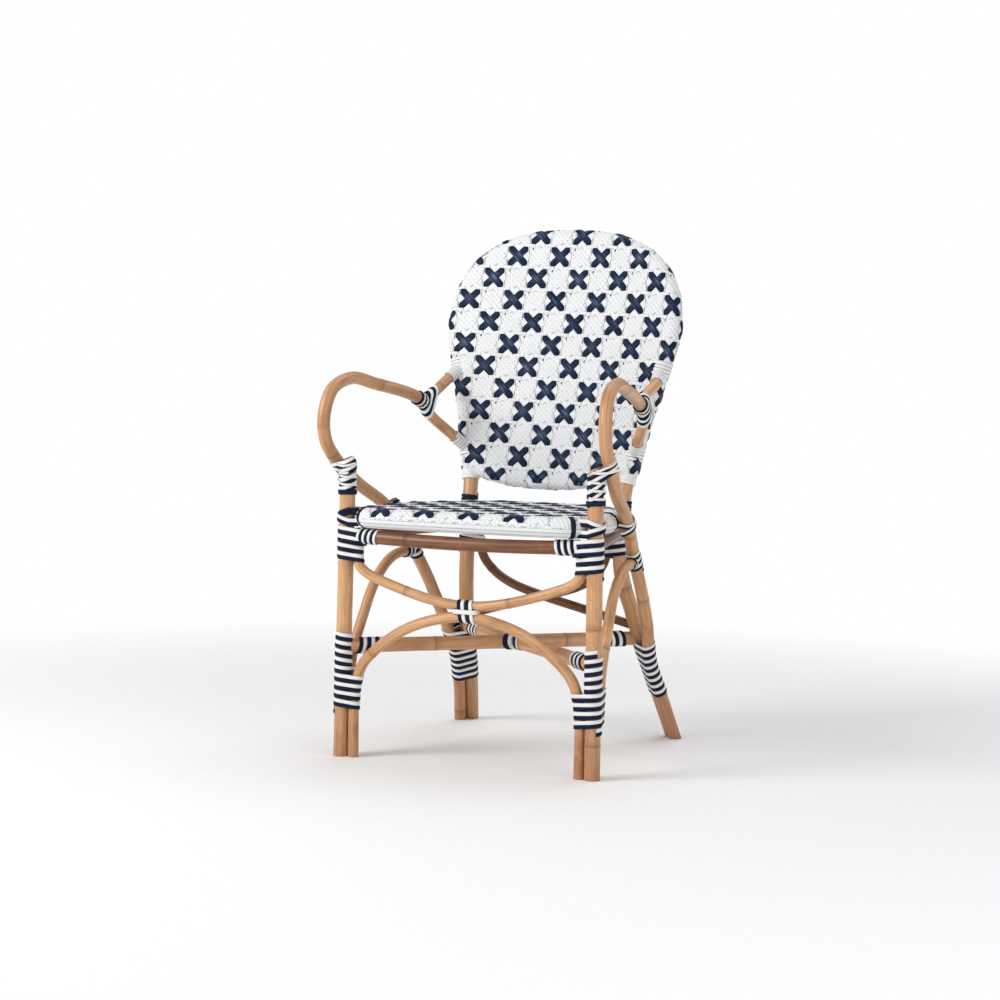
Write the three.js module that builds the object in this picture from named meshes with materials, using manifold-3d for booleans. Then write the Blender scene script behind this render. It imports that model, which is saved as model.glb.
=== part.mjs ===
// Bistro armchair of bent rattan poles, with a seat and a back woven in a cross pattern.
// Millimetres. +X is the right side seen from the front, -Y is the front, +Z is up.
// The chair stands on Z = 0, and each bent pole is a closed tube along its centre line.
import * as THREE from "three";
import { mergeVertices } from "three/addons/utils/BufferGeometryUtils.js";
import Module from "manifold-3d";

const wasm = await Module();
wasm.setup();

// Pole diameters
const legDiameter = 28;
const hoopDiameter = 28;
const armDiameter = 23;
const seatRingDiameter = 26;
const stretcherDiameter = 26;
const frontApronDiameter = 24;
const sideApronDiameter = 20;
const rearApronDiameter = 20;
const sideBraceDiameter = 19;
const archDiameter = 19;
const bowDiameter = 18;
const rearCrossDiameter = 17;
const bracketDiameter = 20;
const backRailDiameter = 20;

// Front legs and floor plan
const frontLegSpan = 476;
const frontLegTaper = 10;
const frontLegSetback = 230;

// Back: a hoop in a leaning plane that starts at the posts, and the rear legs below it
const postSpan = 308;
const postSetback = 119;
const postHeight = 444;
const backLean = 12.2;
const hoopSpan = 431;
const hoopWidestRise = 325;
const hoopCrown = 176;
const hoopRoundness = 2.5;
const rearFootSpan = 418;
const rearFootSetback = 271;
const backRailRise = 62;
const backRailSag = 27;

// Arms
const armSpan = 524;
const armReach = 269;
const armHeight = 667;
const legBelowArm = 141;
const bracketUpperRise = 252;
const bracketLowerRise = 91;

// Seat
const seatHeight = 441;
const seatFrontReach = 251;
const seatRearReach = 112;

// Under the seat
const stretcherHeight = 195;
const apronBelowSeat = 48;
const frontApronSag = 5;
const frontApronBow = 16;
const archHeight = 261;
const archSpringHeight = 116;
const bowTop = 372;
const sideBraceFoot = 100;
const sideBraceTop = 349;
const rearCrossTop = 376;
const rearCrossMiddle = 266;

// Weave and binding strand
const weaveThickness = 3.2;
const sheetThickness = 2.8;
const crossReach = 27;
const crossWaist = 8;
const crossHeight = 3;
const crossSink = 0.4;
const backCellWidth = 41.7;
const backCellHeight = 42.7;
const backCrossOffset = 13.6;
const backCrossRise = 35.2;
const backCrowding = 15.3;
const seatCell = 42;
const seatCrossOffset = 14.5;
const strandWidth = 7;
const strandThickness = 1.6;
const tapeGap = 0.8;
const tieWidth = 6.5;
const tiePitch = 10;
const footBindingStart = 75;
const rearBindingStart = 91;
const armBindingReach = 56;
const frontFootTurns = 9;
const rearFootTurns = 8;
const frontTopTurns = 4;
const armFrontTurns = 3.5;
const shortTurns = 3;
const pairTurns = 2;

// Fits
const touchGap = 0.3;
const wrapGap = 0.35;
const bendSlack = 1.1;
const cutOverrun = 40;
const ringSeam = 0.6;

// Faceting
const stoutSides = 10;
const slimSides = 8;
const turnSteps = 10;
const fineSteps = 12;
const sampleSpacing = 3;
const stepsBetween = 2;

const legHeight = armHeight - legBelowArm;
const frontLegTopSpan = frontLegSpan - frontLegTaper;
const apronHeight = seatHeight - apronBelowSeat;
const armBindingStart = legHeight - armBindingReach;
const legRadius = legDiameter / 2;
const hoopRadius = hoopDiameter / 2;
const armRadius = armDiameter / 2;
const ringRadius = seatRingDiameter / 2;
const sleeveRadius = ringRadius + weaveThickness;
const backSleeveRadius = hoopRadius + weaveThickness;
const stretcherRadius = stretcherDiameter / 2;
const sideBraceRadius = sideBraceDiameter / 2;
const archRadius = archDiameter / 2;
const bowRadius = bowDiameter / 2;
const rearCrossRadius = rearCrossDiameter / 2;
const bracketRadius = bracketDiameter / 2;
const backRailRadius = backRailDiameter / 2;
const legX = frontLegSpan / 2;
const legTopX = frontLegTopSpan / 2;
const legY = -frontLegSetback;
const ringHeight = seatHeight - sleeveRadius;
const pairWidth = 2 * strandWidth;
const pairPitch = pairWidth + tapeGap;
const wrapReach = wrapGap + strandThickness + touchGap;

const RATTAN = { color: 0xb9814c, roughness: 0.42 };
const RATTAN_DARK = { color: 0xa06a38, roughness: 0.45 };
const NAVY = { color: 0x1c2740, roughness: 0.35 };
const WHITE = { color: 0xe9e7e1, roughness: 0.4 };

const chair = new THREE.Group();

// Places a finished geometry in the chair as its own named piece.
function addPiece(name, geometry, look) {
  const material = new THREE.MeshStandardMaterial({ ...look, metalness: 0 });
  const mesh = new THREE.Mesh(geometry, material);
  mesh.name = name;
  chair.add(mesh);
}

function point(x, y, z) {
  return new THREE.Vector3(x, y, z);
}

// A bent centre line whose steps are shared out evenly between its points, so bends get more.
class BentLine extends THREE.CatmullRomCurve3 {
  constructor(points) {
    super(points, false, "centripetal");
    this.steps = stepsBetween * (points.length - 1);
  }

  getUtoTmapping(share) {
    return share;
  }
}

function curveThrough(points) {
  return new BentLine(points);
}

function straight(from, to) {
  const path = new THREE.LineCurve3(from, to);
  path.steps = 1;
  return path;
}

// The same points on the left (-1) or right (1) side of the chair.
function onSide(points, side) {
  return points.map((p) => point(p.x * side, p.y, p.z));
}

function polygon(radius, sides) {
  const corners = [];
  for (let i = 0; i < sides; i += 1) {
    const angle = (2 * Math.PI * (i + 0.5)) / sides;
    corners.push(new THREE.Vector2(radius * Math.cos(angle), radius * Math.sin(angle)));
  }
  return new THREE.Shape(corners);
}

// A round pole of one radius along a centre line, closed at both ends.
function pole(path, radius, sides = stoutSides) {
  return new THREE.ExtrudeGeometry(polygon(radius, sides), {
    steps: path.steps,
    extrudePath: path,
    bevelEnabled: false,
  });
}

function solidOf(geometry) {
  const bare = geometry.clone();
  bare.deleteAttribute("normal");
  bare.deleteAttribute("uv");
  const merged = mergeVertices(bare);
  return new wasm.Manifold(
    new wasm.Mesh({
      numProp: 3,
      vertProperties: new Float32Array(merged.attributes.position.array),
      triVerts: new Uint32Array(merged.index.array),
    }),
  );
}

function geometryOf(solid) {
  const mesh = solid.getMesh();
  const geometry = new THREE.BufferGeometry();
  geometry.setAttribute("position", new THREE.BufferAttribute(mesh.vertProperties, 3));
  geometry.setIndex(new THREE.BufferAttribute(mesh.triVerts, 1));
  return geometry;
}

function cutBy(geometry, cutters) {
  let solid = solidOf(geometry);
  for (const cutter of cutters) solid = solid.subtract(solidOf(cutter));
  return geometryOf(solid);
}

function block(width, depth, height, centre) {
  const geometry = new THREE.BoxGeometry(width, depth, height);
  geometry.translate(centre.x, centre.y, centre.z);
  return geometry;
}

// Everything below the floor, to cut leaning legs flat where they stand.
function belowFloor() {
  const size = 2 * (armSpan + rearFootSetback);
  return block(size, size, cutOverrun * 2, point(0, 0, -cutOverrun));
}

// Point of a centre line at a height, searched upwards from its last point
function atHeight(path, height) {
  const spots = path.getSpacedPoints(path.steps).reverse();
  for (let i = 0; i + 1 < spots.length; i += 1) {
    const [low, high] = [spots[i], spots[i + 1]];
    if ((low.z - height) * (high.z - height) <= 0 && low.z !== high.z) {
      return low.clone().lerp(high, (height - low.z) / (high.z - low.z));
    }
  }
  return spots[0].clone();
}

// A strand surface from rows of corner points, closed at its two ends, with its faces outward.
function closedStrip(rows) {
  const corners = rows[0].length;
  const positions = rows.flat().flatMap((p) => [p.x, p.y, p.z]);
  const faces = [];
  for (let r = 0; r + 1 < rows.length; r += 1) {
    for (let c = 0; c < corners; c += 1) {
      const a = r * corners + c;
      const b = r * corners + ((c + 1) % corners);
      faces.push([a, b, b + corners], [a, b + corners, a + corners]);
    }
  }
  const last = (rows.length - 1) * corners;
  for (let c = 1; c + 1 < corners; c += 1) {
    faces.push([0, c + 1, c], [last, last + c, last + c + 1]);
  }
  const all = rows.flat();
  let volume = 0;
  for (const [a, b, c] of faces) volume += all[a].dot(all[b].clone().cross(all[c]));
  const outward = volume > 0 ? faces : faces.map(([a, b, c]) => [a, c, b]);
  const geometry = new THREE.BufferGeometry();
  geometry.setAttribute("position", new THREE.Float32BufferAttribute(positions, 3));
  geometry.setIndex(outward.flat());
  return geometry;
}

// Two directions square to an axis, which span the plane that a winding goes round in.
function crossPlane(axis) {
  const guide = Math.abs(axis.x) > Math.SQRT1_2 ? point(0, 1, 0) : point(1, 0, 0);
  const u = guide.addScaledVector(axis, -guide.dot(axis)).normalize();
  return { u, v: axis.clone().cross(u) };
}

// How far the bundle reaches in one direction at a place along the axis, and the pole that does.
// Each pole is a row of balls, cut by the plane square to the axis; past its end it goes on level.
function reachOf(bundle, frame, place, angle) {
  const direction = new THREE.Vector2(Math.cos(angle), Math.sin(angle));
  let best = { far: -Infinity, index: 0 };
  bundle.forEach(({ samples, radius }, index) => {
    const balls = samples.map((sample) => {
      const from = sample.clone().sub(frame.origin);
      const off = Math.abs(from.dot(frame.axis) - place);
      return { off, across: from.dot(frame.u) * direction.x + from.dot(frame.v) * direction.y };
    });
    const nearest = balls.reduce((a, b) => (a.off < b.off ? a : b));
    if (nearest.off > sampleSpacing / 2) nearest.off = 0;
    for (const { off, across } of balls.filter((ball) => ball.off < radius)) {
      const far = across + Math.sqrt(radius ** 2 - off ** 2);
      if (far > best.far) best = { far, index };
    }
  });
  return best;
}

// The corner of the taut outline between two directions, at a distance outside the bundle
function outlineCorner(bundle, frame, place, [from, to], distance) {
  const a = reachOf(bundle, frame, place, from).far + distance;
  const b = reachOf(bundle, frame, place, to).far + distance;
  const turn = Math.sin(to - from);
  const u = (a * Math.sin(to) - b * Math.sin(from)) / turn;
  const v = (b * Math.cos(from) - a * Math.cos(to)) / turn;
  return frame.origin
    .clone()
    .addScaledVector(frame.axis, place)
    .addScaledVector(frame.u, u)
    .addScaledVector(frame.v, v);
}

// Poles of the bundle that are held by the turn round a place
function heldAt(bundle, place) {
  return bundle.filter(({ within }) => !within || (place >= within[0] && place <= within[1]));
}

// Even directions for one turn, each one next to a flat of the outline moved square to it
function turnDirections(bundle, frame, place, startAngle) {
  const step = (2 * Math.PI) / turnSteps;
  const directions = [];
  for (let k = 0; k < turnSteps; k += 1) directions.push(startAngle + step * k);
  let last = reachOf(bundle, frame, place, startAngle).index;
  for (let i = 1; i < fineSteps * turnSteps; i += 1) {
    const angle = startAngle + (step * i) / fineSteps;
    const { index } = reachOf(bundle, frame, place, angle);
    const nearest = Math.round(i / fineSteps);
    if (index !== last && nearest > 0 && nearest < turnSteps) directions[nearest] = angle;
    last = index;
  }
  return directions;
}

// One unbroken flat tape, a navy and a white strand side by side, wound round a bundle of poles.
// It starts at a place along the axis and climbs one pitch a turn over the bundle's outline.
function winding(name, options, side = 1) {
  const { bundle, origin, axis, start, turns, startAngle = 0 } = options;
  const { width = pairWidth, pitch = pairPitch, gap = wrapGap } = options;
  const frame = { origin, axis, ...crossPlane(axis) };
  const count = Math.round(turns * turnSteps);
  const directions = [];
  for (let turn = 0; turn <= turns + 1; turn += 1) {
    const place = start + pitch * (turn + 0.5);
    const angle = startAngle + 2 * Math.PI * turn;
    directions.push(...turnDirections(heldAt(bundle, place), frame, place, angle));
  }
  const rows = [];
  for (let k = 0; k <= count; k += 1) {
    const held = heldAt(bundle, start + pitch * (Math.floor(k / turnSteps) + 0.5));
    const angles = [directions[k], directions[k + 1]];
    const place = start + (pitch * (angles[0] - startAngle)) / (2 * Math.PI);
    const corner = (along, out) => outlineCorner(held, frame, place + along, angles, out);
    rows.push([
      corner(0, gap),
      corner(0, gap + strandThickness),
      corner(width, gap + strandThickness),
      corner(width, gap),
    ]);
  }
  console.log(`${name}: least gap to itself ${leastGap(rows).toFixed(2)} mm`);
  addPiece(name, closedStrip(rows.map((row) => onSide(row, side))), NAVY);
}

// Least distance between a turn's upper edge and the lower edge of the turn after it.
function leastGap(rows) {
  let least = Infinity;
  for (let k = 0; k + turnSteps < rows.length; k += 1) {
    for (const step of [-1, 0, 1]) {
      const next = rows[k + turnSteps + step];
      if (!next) continue;
      for (const upper of [rows[k][2], rows[k][3]]) {
        for (const lower of [next[0], next[1]]) least = Math.min(least, upper.distanceTo(lower));
      }
    }
  }
  return least;
}

// A pole as a winding sees it: a stretch of its faceted centre line as a row of balls
function bound(path, radius, [from, to] = [0, 1], within = null) {
  const samples = [];
  const first = Math.round(from * path.steps);
  const last = Math.round(to * path.steps);
  for (let i = first; i < last; i += 1) {
    const start = path.getPointAt(i / path.steps);
    const end = path.getPointAt((i + 1) / path.steps);
    const count = Math.ceil(start.distanceTo(end) / sampleSpacing);
    for (let k = 0; k <= count; k += 1) samples.push(start.clone().lerp(end, k / count));
  }
  return { samples, radius, within };
}

// Front legs: straight upright poles, up past the seat to the arm
const legPaths = {};
for (const side of [-1, 1]) {
  const foot = point(side * legX, legY, 0);
  const top = point(side * legTopX, legY, legHeight);
  const below = foot.clone().lerp(top, -cutOverrun / 4 / legHeight);
  legPaths[side] = straight(below, top);
}

const legKeepOuts = {};
for (const side of [-1, 1]) legKeepOuts[side] = pole(legPaths[side], legRadius + touchGap);

function legXAt(height) {
  return legX + ((legTopX - legX) * height) / legHeight;
}

// Back hoop and rear legs in one pole: foot, post, superellipse crown, post, foot
const lean = THREE.MathUtils.degToRad(backLean);
const backUp = point(0, Math.sin(lean), Math.cos(lean));
const backFront = point(0, -Math.cos(lean), Math.sin(lean));

// A point of the back: across, up the lean from the posts' start, and out to the front.
function backPoint(x, rise, out = 0) {
  return point(x, postSetback, postHeight)
    .addScaledVector(backUp, rise)
    .addScaledVector(backFront, out);
}

const hoopHalf = hoopSpan / 2;
const postX = postSpan / 2;
const footX = rearFootSpan / 2;
// Shares of the rise to the widest place, and of the way out from the posts to that width
const postShares = [
  [0.12, 0.035],
  [0.45, 0.341],
  [0.72, 0.683],
];
// Shares of the way from the post to the foot: out, back, and down
const rearLegShares = [
  [0.02, -0.04, 0.27],
  [0.25, 0.16, 0.45],
  [0.4, 0.31, 0.565],
  [0.7, 0.7, 0.795],
];
const crownPoints = 5;

function hoopSide(side) {
  const foot = point(side * footX, rearFootSetback, 0);
  const run = foot.clone().sub(backPoint(side * postX, 0));
  const below = foot.clone().addScaledVector(run, cutOverrun / 4 / postHeight);
  const points = [below, foot];
  for (const [out, back, down] of [...rearLegShares].reverse()) {
    const start = backPoint(side * postX, 0);
    points.push(point(start.x + run.x * out, start.y + run.y * back, start.z + run.z * down));
  }
  points.push(backPoint(side * postX, 0));
  for (const [up, out] of postShares) {
    points.push(backPoint(side * (postX + (hoopHalf - postX) * out), hoopWidestRise * up));
  }
  for (let i = 0; i < crownPoints; i += 1) {
    const angle = (Math.PI / 2) * (i / crownPoints);
    const across = hoopHalf * Math.cos(angle) ** (2 / hoopRoundness);
    const up = hoopCrown * Math.sin(angle) ** (2 / hoopRoundness);
    points.push(backPoint(side * across, hoopWidestRise + up));
  }
  return points;
}
const crownTop = backPoint(0, hoopWidestRise + hoopCrown);
const hoopPath = curveThrough([...hoopSide(-1), crownTop, ...hoopSide(1).reverse()]);
const hoopTube = pole(hoopPath, hoopRadius);
const hoopKeepOut = pole(hoopPath, hoopRadius + touchGap);

// The hoop's centre line at a height, on one side
const hoopHalves = {};
for (const side of [-1, 1]) hoopHalves[side] = curveThrough(hoopSide(side).reverse());

function hoopAt(side, height) {
  return atHeight(hoopHalves[side], height);
}

// Arm brackets: a bent pole, open to the back, that carries the arm's rear end
const armHalf = armSpan / 2;
// Shares of the arm's half span, reach and height
const bracketTipShares = [0.826, 0.16, 0.932];
// From the tip: shares of the way to each end on the hoop, with the bend kept round
const bracketUpperShares = [
  [0.5, 0.62, 0.62],
  [0.55, 0.2, 0.3],
];
const bracketLowerShares = [
  [0.1, 0.16, 0.25],
  [0.45, 0.5, 0.56],
];

function between(start, end, [x, y, z]) {
  return point(
    start.x + (end.x - start.x) * x,
    start.y + (end.y - start.y) * y,
    start.z + (end.z - start.z) * z,
  );
}

const bracketPaths = {};
const bracketTips = {};
for (const side of [-1, 1]) {
  const [across, back, up] = bracketTipShares;
  const tip = point(side * armHalf * across, armReach * back, armHeight * up);
  const upper = hoopAt(side, postHeight + bracketUpperRise * Math.cos(lean));
  const lower = hoopAt(side, postHeight + bracketLowerRise * Math.cos(lean));
  bracketTips[side] = tip;
  bracketPaths[side] = curveThrough([
    upper,
    ...bracketUpperShares.map((share) => between(tip, upper, share)),
    tip,
    ...bracketLowerShares.map((share) => between(tip, lower, share)),
    lower,
  ]);
}

// Arm and brace in one pole: from the bracket forward, round the front bend, down past the
// front leg, back under the seat and down to the rear foot, where it lies against the hoop leg
const armForwardShares = [
  [0.841, -0.004, 0.955],
  [0.917, -0.424, 0.985],
  [0.958, -0.7, 1],
  [0.986, -0.925, 0.968],
  [1, -1, 0.9],
  [1, -0.975, 0.84],
];
const armBackwardShares = [
  [0.94, -0.62, 0.72],
  [0.885, -0.28, 0.649],
  [0.832, 0.05, 0.523],
  [0.812, 0.24, 0.441],
  [0.792, 0.424, 0.342],
];
// Direction from the hoop leg to the brace where the two are bound together at the foot
const footPairShares = [0.5, -0.866];
// Heights of the bound stretch as shares of the post's height, with the distance kept there
const footPairHeights = [
  [0.36, 1.12],
  [0.205, 1],
  [0, 1],
];

function armPoint(side, [x, y, z]) {
  return point(side * armHalf * x, armReach * y, armHeight * z);
}

const armPaths = {};
for (const side of [-1, 1]) {
  const lapX = legXAt(legHeight) + legRadius + armRadius + touchGap + bendSlack / 2;
  const points = [bracketTips[side]];
  for (const share of armForwardShares) points.push(armPoint(side, share));
  points.push(point(side * lapX, legY, legHeight));
  for (const share of armBackwardShares) points.push(armPoint(side, share));
  const apart = hoopRadius + armRadius + touchGap + bendSlack / 2;
  for (const [height, distance] of footPairHeights) {
    const spot = hoopAt(side, postHeight * height);
    const along = hoopAt(side, postHeight * height + bendSlack).sub(spot).normalize();
    const offset = point(side * footPairShares[0], footPairShares[1], 0);
    offset.addScaledVector(along, -offset.dot(along)).normalize();
    points.push(spot.addScaledVector(offset, apart * distance));
  }
  const foot = points[points.length - 1];
  const above = points[points.length - 2];
  points.push(foot.clone().lerp(above, -cutOverrun / 4 / above.z));
  armPaths[side] = curveThrough(points);
}

// Seat ring: a bent pole inside the legs, posts and braces, its ends butted at the back
// Directions from leg and post to the ring, and shares for the rounded front corner
const legToRingShares = [-0.96, 0.28];
const postToRingShares = [-0.76, -0.65];
const ringBackShare = 0.55;
const frontCornerShares = [
  [0.985, 0.91],
  [0.925, 0.955],
  [0.82, 0.983],
];

// How far out from a pole's centre line a strand wound on it reaches, with the fit outside it
function outside(radius) {
  return (radius + wrapGap) / Math.cos(Math.PI / turnSteps) + strandThickness + touchGap;
}

function ringSide(side) {
  const fromLeg = outside(legRadius) + sleeveRadius;
  const fromPost = outside(hoopRadius) + sleeveRadius;
  const post = hoopAt(1, ringHeight);
  const tie = atHeight(armPaths[1], ringHeight);
  const sideX = tie.x - outside(armRadius) - sleeveRadius;
  const legSpot = point(
    legXAt(ringHeight) + legToRingShares[0] * fromLeg,
    legY + legToRingShares[1] * fromLeg,
    ringHeight,
  );
  const postSpot = point(
    post.x + postToRingShares[0] * fromPost,
    post.y + postToRingShares[1] * fromPost,
    ringHeight,
  );
  const points = [point(ringSeam / 2, seatRearReach, ringHeight)];
  points.push(point(postSpot.x * ringBackShare, seatRearReach, ringHeight));
  points.push(postSpot);
  points.push(point((postSpot.x + sideX) / 2 + bendSlack, (postSpot.y + tie.y) / 2, ringHeight));
  points.push(point(sideX, tie.y, ringHeight));
  points.push(legSpot);
  for (const [across, out] of frontCornerShares) {
    points.push(point(legSpot.x * across, -seatFrontReach * out, ringHeight));
  }
  return onSide(points, side);
}
const ringFront = point(0, -seatFrontReach, ringHeight);
const ringPath = curveThrough([...ringSide(-1), ringFront, ...ringSide(1).reverse()]);
const ringTube = pole(ringPath, ringRadius, slimSides);
const seamWidth = ringSeam + 2 * touchGap;
const ringSeamCut = block(
  seamWidth,
  seatRingDiameter * 2,
  seatRingDiameter * 2,
  point(0, seatRearReach, ringHeight),
);

// Stretchers: two straight poles crossed under the seat, each half lapped into the other
const stretcherPaths = {};
for (const side of [-1, 1]) {
  stretcherPaths[side] = straight(
    point(side * legXAt(stretcherHeight), legY, stretcherHeight),
    hoopAt(-side, stretcherHeight),
  );
}

function stretcherSolid(side) {
  const other = pole(stretcherPaths[-side], stretcherRadius + touchGap);
  const size = 2 * frontLegSpan;
  const half = block(
    size,
    size,
    size,
    point(0, 0, stretcherHeight + side * (size / 2 - touchGap / 2)),
  );
  const lap = solidOf(other).intersect(solidOf(half));
  let solid = solidOf(pole(stretcherPaths[side], stretcherRadius));
  solid = solid.subtract(lap).subtract(solidOf(hoopKeepOut)).subtract(solidOf(legKeepOuts[side]));
  solid = solid.subtract(solidOf(bindingKeepOut(frontFootBinding(), side)));
  solid = solid.subtract(solidOf(bindingKeepOut(rearFootBinding(), -side)));
  return geometryOf(solid);
}

// Front arch from foot to foot, and the bow that hangs onto its crown from leg to leg
// Shares of the springing's half span, and of the rise from springing to crown
const archShares = [
  [0.975, 0.18],
  [0.91, 0.38],
  [0.65, 0.71],
  [0.38, 0.9],
];
function archSide(side) {
  const beside = legRadius + archRadius + touchGap;
  const springX = legXAt(archSpringHeight) - beside;
  const points = [point(legX - beside, legY, 0), point(springX, legY, archSpringHeight)];
  for (const [across, up] of archShares) {
    const height = archSpringHeight + (archHeight - archSpringHeight) * up;
    points.push(point(springX * across, legY, height));
  }
  return onSide(points, side);
}
const archCrown = point(0, legY, archHeight);
const archPath = curveThrough([...archSide(-1), archCrown, ...archSide(1).reverse()]);
const archSides = { [-1]: curveThrough(archSide(-1)), 1: curveThrough(archSide(1)) };
const bowMiddle = archHeight + archRadius + bowRadius + touchGap;
// Shares of the bow's half span, and of the rise from its middle to its ends
const bowShares = [
  [1, 0.86],
  [0.985, 0.66],
  [0.93, 0.53],
  [0.78, 0.38],
  [0.32, 0.08],
];
function bowSide(side) {
  const endX = legXAt(bowTop) - legRadius - bowRadius - touchGap;
  const points = [point(endX, legY, bowTop)];
  for (const [across, up] of bowShares) {
    points.push(point(endX * across, legY, bowMiddle + (bowTop - bowMiddle) * up));
  }
  return onSide(points, side);
}
const bowPath = curveThrough([...bowSide(-1), point(0, legY, bowMiddle), ...bowSide(1).reverse()]);
const bowSides = { [-1]: curveThrough(bowSide(-1)), 1: curveThrough(bowSide(1)) };

// Aprons: poles under the seat ring from leg to leg, leg to post and post to post
// Shares of the front apron's half span, and of its bow and sag there
const apronBendShares = [0.5, 0.75];

function apronPoint(across, bend) {
  return point(across, legY - frontApronBow * bend, apronHeight - frontApronSag * bend);
}

const [apronAcross, apronBend] = apronBendShares;
const frontApronPath = curveThrough([
  apronPoint(-legXAt(apronHeight), 0),
  apronPoint(-legX * apronAcross, apronBend),
  apronPoint(0, 1),
  apronPoint(legX * apronAcross, apronBend),
  apronPoint(legXAt(apronHeight), 0),
]);
const sideApronPaths = {};
for (const side of [-1, 1]) {
  sideApronPaths[side] = straight(
    point(side * legXAt(apronHeight), legY, apronHeight),
    hoopAt(side, apronHeight),
  );
}
const rearApronPath = straight(hoopAt(-1, apronHeight), hoopAt(1, apronHeight));

// Side braces: bent from the front foot up and back to the arm pole's brace
// Shares of the way from the bound foot to the end on the brace
const sideBraceShares = [
  [0, 0.02, 0.18],
  [0.02, 0.06, 0.33],
  [0.2, 0.22, 0.6],
  [0.35, 0.34, 0.77],
  [0.5, 0.51, 0.91],
  [0.68, 0.7, 0.985],
];
const sideBracePaths = {};
for (const side of [-1, 1]) {
  const start = point(
    side * legXAt(sideBraceFoot),
    legY + legRadius + sideBraceRadius + touchGap,
    sideBraceFoot,
  );
  const end = atHeight(armPaths[side], sideBraceTop);
  sideBracePaths[side] = curveThrough([
    start,
    ...sideBraceShares.map((share) => between(start, end, share)),
    end,
  ]);
}

// Rear cross: two bent poles from high on one rear post to low on the other, one before the other
// Shares of the way from the top to the meeting place, to the middle beside it, and to the foot
const rearCrossTopShares = [
  [0.02, 0.05, 0.2],
  [0.09, 0.15, 0.42],
  [0.25, 0.4, 0.64],
];
const rearCrossMiddleShares = [0.5, 0.75, 0.81];
const rearCrossFootShares = [0.5, 0.35, 0.48];
const rearCrossPaths = {};
for (const side of [-1, 1]) {
  const step = side * (rearCrossRadius + touchGap / 2 + bendSlack / 2);
  const top = hoopAt(side, rearCrossTop);
  const aboveStretcher = stretcherRadius + rearCrossRadius + touchGap + bendSlack;
  const foot = hoopAt(-side, stretcherHeight + aboveStretcher);
  const inward = side * (hoopRadius + rearCrossRadius + touchGap + bendSlack);
  const meeting = point(0, (top.y + foot.y) / 2, rearCrossMiddle);
  const middle = meeting.clone().setY(meeting.y + step);
  const start = point(top.x - inward, top.y, rearCrossTop);
  rearCrossPaths[side] = curveThrough([
    start,
    ...rearCrossTopShares.map((share) => between(start, meeting, share)),
    between(start, middle, rearCrossMiddleShares),
    middle,
    between(middle, foot, rearCrossFootShares),
    foot,
  ]);
}

// Lower rail of the back, hung in a shallow curve between the posts
const railOut = hoopRadius - backRailRadius;
const railEnd = hoopAt(1, postHeight + backRailRise * Math.cos(lean));
// Shares of the rail's half span, and of its sag there
const railBendShares = [0.6, 0.72];
const railBend = backRailRise - backRailSag * railBendShares[1];
const railPath = curveThrough([
  backPoint(-railEnd.x, backRailRise, railOut),
  backPoint(-railEnd.x * railBendShares[0], railBend, railOut),
  backPoint(0, backRailRise - backRailSag, railOut),
  backPoint(railEnd.x * railBendShares[0], railBend, railOut),
  backPoint(railEnd.x, backRailRise, railOut),
]);

// Outline of a cross: four tips and the waists between them
const starCorners = [];
for (let k = 0; k < 8; k += 1) {
  const reach = k % 2 === 1 ? crossReach : crossWaist;
  starCorners.push(new THREE.Vector2(reach, 0).rotateAround(new THREE.Vector2(), (k * Math.PI) / 4));
}

// Whether a spot lies inside a closed outline: a ray from it meets an odd number of sides.
function isInside(outline, spot) {
  let odd = false;
  outline.forEach((from, i) => {
    const to = outline[(i + 1) % outline.length];
    if (from.y > spot.y === to.y > spot.y) return;
    const meeting = from.x + ((to.x - from.x) * (spot.y - from.y)) / (to.y - from.y);
    if (spot.x < meeting) odd = !odd;
  });
  return odd;
}

// Middles of the crosses in every other cell of the weave, as far as their tips stay inside.
// Crowding moves the cells at both sides to the left, and the rows drop to the right.
function crossSpots(outline, cell, start, crowding = 0, dropShare = 0) {
  const { min, max } = new THREE.Box2().setFromPoints(outline);
  const columns = 2 * Math.ceil((max.x - min.x) / cell.x / 2);
  const tips = starCorners.filter((corner, i) => i % 2 === 1);
  const spots = [];
  for (let j = 0; start.y + cell.y * j < max.y; j += 1) {
    for (let i = (j % 2) - columns; i <= columns; i += 2) {
      const x = start.x + cell.x * i;
      const y = start.y + cell.y * j - dropShare * x;
      const spot = new THREE.Vector2(x - crowding * (x / max.x) ** 2, y);
      if (tips.every((tip) => isInside(outline, tip.clone().add(spot)))) spots.push(spot);
    }
  }
  return spots;
}

// Crosses on a level sheet: each one rises from four tips to the middle, where its strands cross.
function crossesAt(spots) {
  const positions = [];
  const faces = [];
  const count = starCorners.length;
  for (const { x, y } of spots) {
    const first = positions.length / 3;
    positions.push(x, y, crossHeight, x, y, -2 * crossSink);
    for (const corner of starCorners) positions.push(x + corner.x, y + corner.y, -crossSink);
    for (let k = 0; k < count; k += 1) {
      const here = first + 2 + k;
      const next = first + 2 + ((k + 1) % count);
      faces.push(first, here, next, first + 1, next, here);
    }
  }
  const geometry = new THREE.BufferGeometry();
  geometry.setAttribute("position", new THREE.Float32BufferAttribute(positions, 3));
  geometry.setIndex(faces);
  return geometry;
}

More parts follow.
